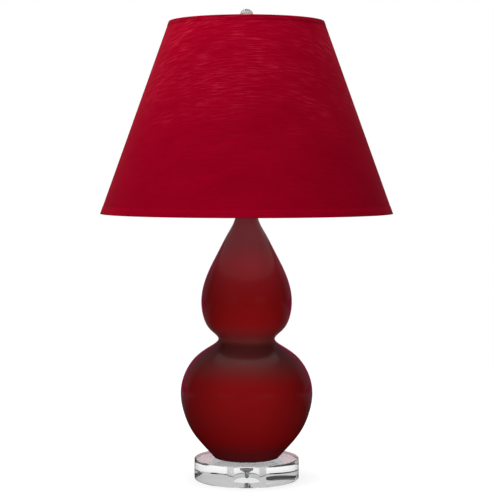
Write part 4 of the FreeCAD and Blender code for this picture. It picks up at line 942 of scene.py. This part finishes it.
def make_plug():
    """Moulded plug: ribbed relief, waisted grip and a square face."""
    end, before = Vector(TAIL_ROUTE[-1]), Vector(TAIL_ROUTE[-2])
    way = end - before
    place = Matrix.Translation(end) @ Matrix.Rotation(math.atan2(way.y, way.x), 4, "Z")
    jacket = sizes().cord_diameter / 2
    relief = 0.010
    ribs = 5
    sections = [(-0.0005, jacket * 1.02, jacket * 1.02, 2.0)]
    for rib in range(ribs):
        low = relief * rib / ribs
        swell = jacket * (1.08 + 0.10 * rib)
        sections.append((low + relief * 0.02, swell, swell, 2.0))
        sections.append((low + relief * 0.11, swell + 0.0004, swell + 0.0004, 2.0))
        sections.append((low + relief * 0.14, swell, swell, 2.0))
    for along, wide, high, power in (
            (0.0102, 0.0046, 0.0044, 2.2), (0.0118, 0.0068, 0.0056, 2.6), (0.0140, 0.0096, 0.0066, 3.0),
            (0.0165, 0.0108, 0.0070, 3.6), (0.0195, 0.0103, 0.0067, 4.0), (0.0230, 0.0101, 0.0066, 4.4),
            (0.0265, 0.0106, 0.0069, 5.0), (0.0295, 0.0115, 0.0073, 6.0), (0.0320, 0.0119, 0.0075, 7.0),
            (0.0334, 0.0119, 0.0075, 7.0), (0.0340, 0.0115, 0.0071, 7.0)):
        sections.append((along, wide, high, power))
    plug = loft("plug_grip", sections, place, FINISH["plug"])
    return seat(plug, "base", "plug_vinyl", "plug_body")


def make_tie():
    """Hook-and-loop strap, a closed band round the coil's section."""
    size = sizes()
    half_width = 0.0045
    thickness = 0.0008
    bend = 0.0022
    middle = size.coil_offset + size.coil_radius
    wide = 1.5 * size.cord_diameter + 0.0003
    low, high = thickness, 0.0159
    inner = rounded([(-wide, low), (wide, low), (wide, high), (-wide, high)], bend, 6)
    edge, under, over = wide + thickness, low - thickness + 5e-5, high + thickness
    outer = rounded([(-edge, under), (edge, under), (edge, over), (-edge, over)], bend + thickness, 6)
    points = []
    count = len(inner)
    for side in (-half_width, half_width):
        for across, up in inner + outer:
            points.append((side, middle + across, up))
    faces = []
    for step in range(count):
        following = (step + 1) % count
        for shift, flip in ((0, False), (count, True)):
            here, there = shift + step, shift + following
            quad = (here, there, 2 * count + there, 2 * count + here)
            faces.append(quad[::-1] if flip else quad)
        for base in (0, 2 * count):
            faces.append((base + step, base + following, base + count + following, base + count + step))
    tie = mesh_piece("tie_strap", points, faces, FINISH["strap"])
    return seat(tie, "base", "tie_strap", "cord_tie")


class LAMP_OT_clear_base(bpy.types.Operator):
    """Make the clear disc with its recess and cord hole, and the ring under the ceramic."""

    bl_idname = "lamp.clear_base"
    bl_label = "Clear base"

    def execute(self, context):
        low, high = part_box("base_block")
        radius = high.x
        recess, rim = rim_radii("base_block", low.z)
        bore = rim_radii("base_block", high.z)[0]
        edge = radius - rim
        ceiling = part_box("base_lock_washer")[1].z
        corners = [
            (recess, low.z), (rim, low.z), (radius, low.z + edge), (radius, high.z - edge), (rim, high.z),
            (bore, high.z), (bore, ceiling), (recess, ceiling),
        ]
        disc = turned("clear_disc", corners, FINISH["acrylic"])
        drill_cord_hole(disc, radius)
        seat(disc, "base", "clear_acrylic", "base_block")
        make_gasket()
        return {"FINISHED"}


def drill_cord_hole(disc, radius):
    """Cut the radial hole for the cord."""
    size = sizes()
    over = 0.004
    outwards = Matrix.Rotation(math.pi / 2 - size.hole_turn, 4, "Z")
    place = Matrix.Translation((0, 0, size.hole_level)) @ outwards
    ends = [(along, size.hole_radius, size.hole_radius, 2.0) for along in (over, radius + over)]
    drill = loft("cord_hole_drill", ends, place, FINISH["acrylic"], around=64)
    cut = disc.modifiers.new("cord hole", "BOOLEAN")
    cut.operation = "DIFFERENCE"
    cut.solver = "EXACT"
    cut.object = drill
    plain = plain_mesh(disc)
    disc.modifiers.remove(cut)
    disc.data = plain
    bpy.data.objects.remove(drill)
    tidy_faces(disc)


def make_gasket():
    """Thin clear ring between ceramic and disc."""
    low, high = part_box("foot_gasket")
    inner, outer = rim_radii("foot_gasket", low.z)
    corners = [(inner, low.z), (outer, low.z), (outer, high.z), (inner, high.z)]
    ring = turned("gasket_ring", rounded(corners, (high.z - low.z) / 3), FINISH["vinyl"])
    seat(ring, "base", "clear_vinyl", "foot_gasket")


class LAMP_OT_gourd(bpy.types.Operator):
    """Turn the ceramic double gourd from its smooth profile."""

    bl_idname = "lamp.gourd"
    bl_label = "Gourd"

    def execute(self, context):
        wall = sizes().ceramic_wall
        floor_rise = 0.0085
        ring_rise = 0.0020
        parts, coarser = 12, 6
        outer = smooth_profile(GOURD_STATIONS, FOOT_LEAN, (0.0, 1.0), parts)
        low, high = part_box("gourd_body")
        bore = rim_radii("gourd_body", high.z)[0]
        ring_inner = rim_radii("gourd_body", low.z)[0]
        hole = rim_radii("gourd_body", FOOT_LEVEL + floor_rise)[0]
        inner = []
        for number in range(len(outer) - 1, 0, -coarser):
            here, before = Vector(outer[number]), Vector(outer[number - 1])
            way = (here - before).normalized()
            place = here + Vector((-way.y, way.x)) * wall
            if place.y > floor_rise + wall:
                inner.append((max(place.x, bore), place.y))
        inner[0] = (bore, outer[-1][1])
        last = inner[-1]
        profile = outer + inner + [
            (last[0] - wall, floor_rise), (hole, floor_rise), (hole, ring_rise), (ring_inner, ring_rise),
            (ring_inner, 0.0)]
        raised = [(radius, height + FOOT_LEVEL) for radius, height in profile]
        gourd = turned("glazed_gourd", raised, FINISH["glaze"])
        seat(gourd, "base", "oxblood_glaze", "gourd_body")
        return {"FINISHED"}


class LAMP_OT_shade(bpy.types.Operator):
    """Make the shade: cloth, lining, rolled hems and the lap at the back."""

    bl_idname = "lamp.shade"
    bl_label = "Shade"

    def execute(self, context):
        bottom, top, low, high, apex, lean = shade_cone()
        inner_top = rim_radii("shade_fabric", high)[0]
        thickness = top - inner_top
        cloth = turned("shade_cloth", cone_skin(bottom, top, low, high, thickness), FINISH["cloth"])
        flat_cloth_map(cloth, apex, lean)
        seat(cloth, "shade", "crimson_cotton", "shade_fabric")
        lining_face = bottom - thickness
        lining_wall = top - thickness - rim_radii("shade_liner", high)[0]
        lining = turned("shade_lining", cone_skin(
            lining_face, top - thickness, low, high, lining_wall), FINISH["lining"])
        seat(lining, "shade", "white_styrene", "shade_liner")
        hems = make_hems(bottom, top, low, high, apex, lean)
        lap = make_back_lap(bottom, top, low, high, apex, lean)
        paint("lining", "shade_seam")
        paint("shade_wire", "shade_top_ring", "shade_bottom_ring", "spider_hub", "spider_arms")
        return {"FINISHED"}


def cone_skin(bottom, top, low, high, thickness):
    """Closed section of a conical skin, in rows."""
    outside = []
    inside = []
    for row in range(CLOTH_ROWS + 1):
        share = row / CLOTH_ROWS
        level = low + (high - low) * share
        radius = bottom + (top - bottom) * share
        outside.append((radius, level))
        inside.append((radius - thickness, level))
    return outside + inside[::-1]


def make_hems(bottom, top, low, high, apex, lean):
    """Cloth folded over each ring wire: a flat outer band, a round roll and an inner band."""
    size = sizes()
    cloth = size.hem_cloth
    close = 2e-5
    broken, rolled = cloth / 4, cloth * 1.6
    reaches = [broken] * 2 + [rolled] * 4 + [broken] * 2 + [0.0] * 2
    made = []
    for name, node, edge, way, radius, finish in (
            ("bottom_hem", "shade_bottom_trim", low, 1.0, bottom, "hem"),
            ("top_hem", "shade_top_trim", high, -1.0, top, "top_hem")):
        slope = (bottom - top) / (high - low)
        inside = min(rim_radii(node, edge)[0], radius - cloth * 2) + cloth
        inner_width = size.hem_inner_width if way > 0 else size.top_hem_inner_width
        outer_width = size.hem_width if way > 0 else size.top_hem_width
        corners = [
            (radius + close, outer_width), (radius + cloth, outer_width), (radius + cloth, 0.0),
            (radius - cloth, -cloth), (inside + cloth, -cloth), (inside - cloth, 0.0),
            (inside - cloth, inner_width), (inside - close, inner_width), (inside - close, 0.0),
            (radius + close, 0.0),
        ]
        placed = []
        for reach, rise in corners:
            level = edge + rise * way
            placed.append((reach - slope * rise * way, level))
        hem = turned(name, rounded(placed, reaches, 5), FINISH[finish], crease=math.radians(50))
        flat_cloth_map(hem, apex, lean)
        seat(hem, "shade", "crimson_cotton_hem", node)
        made.append(hem)
    return made


def make_back_lap(bottom, top, low, high, apex, lean):
    """The cloth's overlap, straight down the back."""
    size = sizes()
    half = 0.006
    proud = 0.00035
    clear = 0.0001
    margin = size.hem_width + 0.0002
    rows = 12
    across = 4
    rings = []
    for row in range(rows + 1):
        level = low + margin + (high - low - 2 * margin) * row / rows
        radius = bottom + (top - bottom) * (level - low) / (high - low)
        angles = [(2 * step / across - 1) * half / radius for step in range(across + 1)]
        corners = [(angle, radius + clear) for angle in angles]
        corners += [(angle, radius + proud) for angle in reversed(angles)]
        rings.append([
            (reach * math.sin(angle), reach * math.cos(angle), level) for angle, reach in corners])
    lap = skin("back_lap", rings, FINISH["cloth"])
    flat_cloth_map(lap, apex, lean)
    return seat(lap, "shade", "crimson_cotton")


class LAMP_OT_finial(bpy.types.Operator):
    """Turn the finial's clear ball and paint its base nickel."""

    bl_idname = "lamp.finial"
    bl_label = "Finial"

    def execute(self, context):
        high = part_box("finial_ball")[1]
        radius = high.x
        centre = high.z - radius
        seat_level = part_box("finial_base")[1].z
        bore = rim_radii("finial_base", seat_level)[0]
        steps = 72
        depth, cone = 0.38, 0.4
        start = math.asin((seat_level - centre) / radius)
        bore_top = centre - radius * depth
        outline = [(0.0, bore_top), (bore, bore_top - bore * cone), (bore, seat_level)]
        for step in range(steps + 1):
            angle = start + (math.pi / 2 - start) * step / steps
            outline.append((radius * math.cos(angle), centre + radius * math.sin(angle)))
        outline[-1] = (0.0, high.z)
        ball = turned("clear_ball", outline, FINISH["acrylic"], closed=False, steps=128)
        seat(ball, "finial", "clear_acrylic", "finial_ball")
        paint("nickel", "finial_base")
        return {"FINISHED"}


class LAMP_OT_bulb(bpy.types.Operator):
    """Finish the bulb: frosted glass, screw cap and its inner pieces."""

    bl_idname = "lamp.bulb"
    bl_label = "Bulb"

    def execute(self, context):
        paint("frosted", "bulb_glass")
        paint("aluminium", "bulb_cap")
        paint("vitrite", "bulb_insulator")
        paint("solder", "bulb_tip")
        paint("glass", "bulb_stem")
        paint("filament", "bulb_filament")
        return {"FINISHED"}


class LAMP_OT_fittings(bpy.types.Operator):
    """Finish the neck, harp, socket, switch and base fittings."""

    bl_idname = "lamp.fittings"
    bl_label = "Fittings"

    def execute(self, context):
        paint("nickel", "vase_cap", "check_ring", "neck_spacer", "harp_ferrule_left", "harp_ferrule_right",
              "harp_post", "socket_cap", "socket_shell")
        paint("wire", "harp_saddle", "harp")
        paint("steel", "cap_set_screw", "base_lock_washer", "base_nut", "lamp_pipe")
        paint("brass", "screw_shell", "centre_contact", "terminal_screws", "switch_stem")
        paint("phenolic", "socket_insulator", "switch_knob")
        paint("fibre", "shell_liner")
        paint("lead", "pipe_cord", "socket_leads")
        make_pipe_thread()
        return {"FINISHED"}


def make_pipe_thread():
    """The thread that shows on the pipe's end inside the clear base."""
    size = sizes()
    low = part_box("lamp_pipe")[0].z
    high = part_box("base_nut")[0].z
    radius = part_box("lamp_pipe")[1].x
    margin, thickness, sunk = 0.3, 0.34, 0.3
    turns = (high - low) / size.thread_pitch - 2 * margin
    ridge = size.thread_pitch * thickness
    values = {"Radius": radius - ridge * sunk, "Pitch": size.thread_pitch, "Turns": turns, "Ridge": ridge}
    empty = bpy.data.meshes.new("thread_seed")
    thread = grown("pipe_thread", empty, TREES["thread"], FINISH["steel"], values)
    thread.data.transform(Matrix.Translation((0, 0, low + size.thread_pitch * margin)))
    tidy_faces(thread)
    seat(thread, "base", "zinc_steel")


class LAMP_PT_panel(bpy.types.Panel):
    """Steps of the lamp in the sidebar."""

    bl_idname = "LAMP_PT_panel"
    bl_label = "Double gourd lamp"
    bl_space_type = "VIEW_3D"
    bl_region_type = "UI"
    bl_category = "Gourd lamp"

    def draw(self, context):
        for group in ("lamp_sizes", "lamp_colours", "lamp_studio"):
            settings = getattr(context.scene, group)
            box = self.layout.box()
            for name in settings.__annotations__:
                box.prop(settings, name)
        for operator in OPERATORS:
            self.layout.operator(operator.bl_idname)


GROUPS = (("lamp_sizes", LampSizes), ("lamp_colours", LampColours), ("lamp_studio", LampStudio))
OPERATORS = (
    LAMP_OT_stage, LAMP_OT_supply_cord, LAMP_OT_clear_base, LAMP_OT_gourd, LAMP_OT_shade, LAMP_OT_finial,
    LAMP_OT_bulb, LAMP_OT_fittings,
)


def register():
    """Add the lamp's settings, steps and panel."""
    for name, group in GROUPS:
        bpy.utils.register_class(group)
        setattr(bpy.types.Scene, name, bpy.props.PointerProperty(type=group))
    for operator in OPERATORS:
        bpy.utils.register_class(operator)
    bpy.utils.register_class(LAMP_PT_panel)


def unregister():
    """Take the lamp's settings, steps and panel out again."""
    bpy.utils.unregister_class(LAMP_PT_panel)
    for operator in reversed(OPERATORS):
        bpy.utils.unregister_class(operator)
    for name, group in reversed(GROUPS):
        delattr(bpy.types.Scene, name)
        bpy.utils.unregister_class(group)


def main():
    """Build the lamp step by step."""
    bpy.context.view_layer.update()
    register()
    TREES.update(lathe=lathe_tree(), thread=thread_tree())
    FINISH.update(make_materials())
    bpy.ops.lamp.stage()
    bpy.ops.lamp.supply_cord()
    bpy.ops.lamp.clear_base()
    bpy.ops.lamp.gourd()
    bpy.ops.lamp.shade()
    bpy.ops.lamp.finial()
    bpy.ops.lamp.bulb()
    bpy.ops.lamp.fittings()


if __name__ == "__main__":
    main()
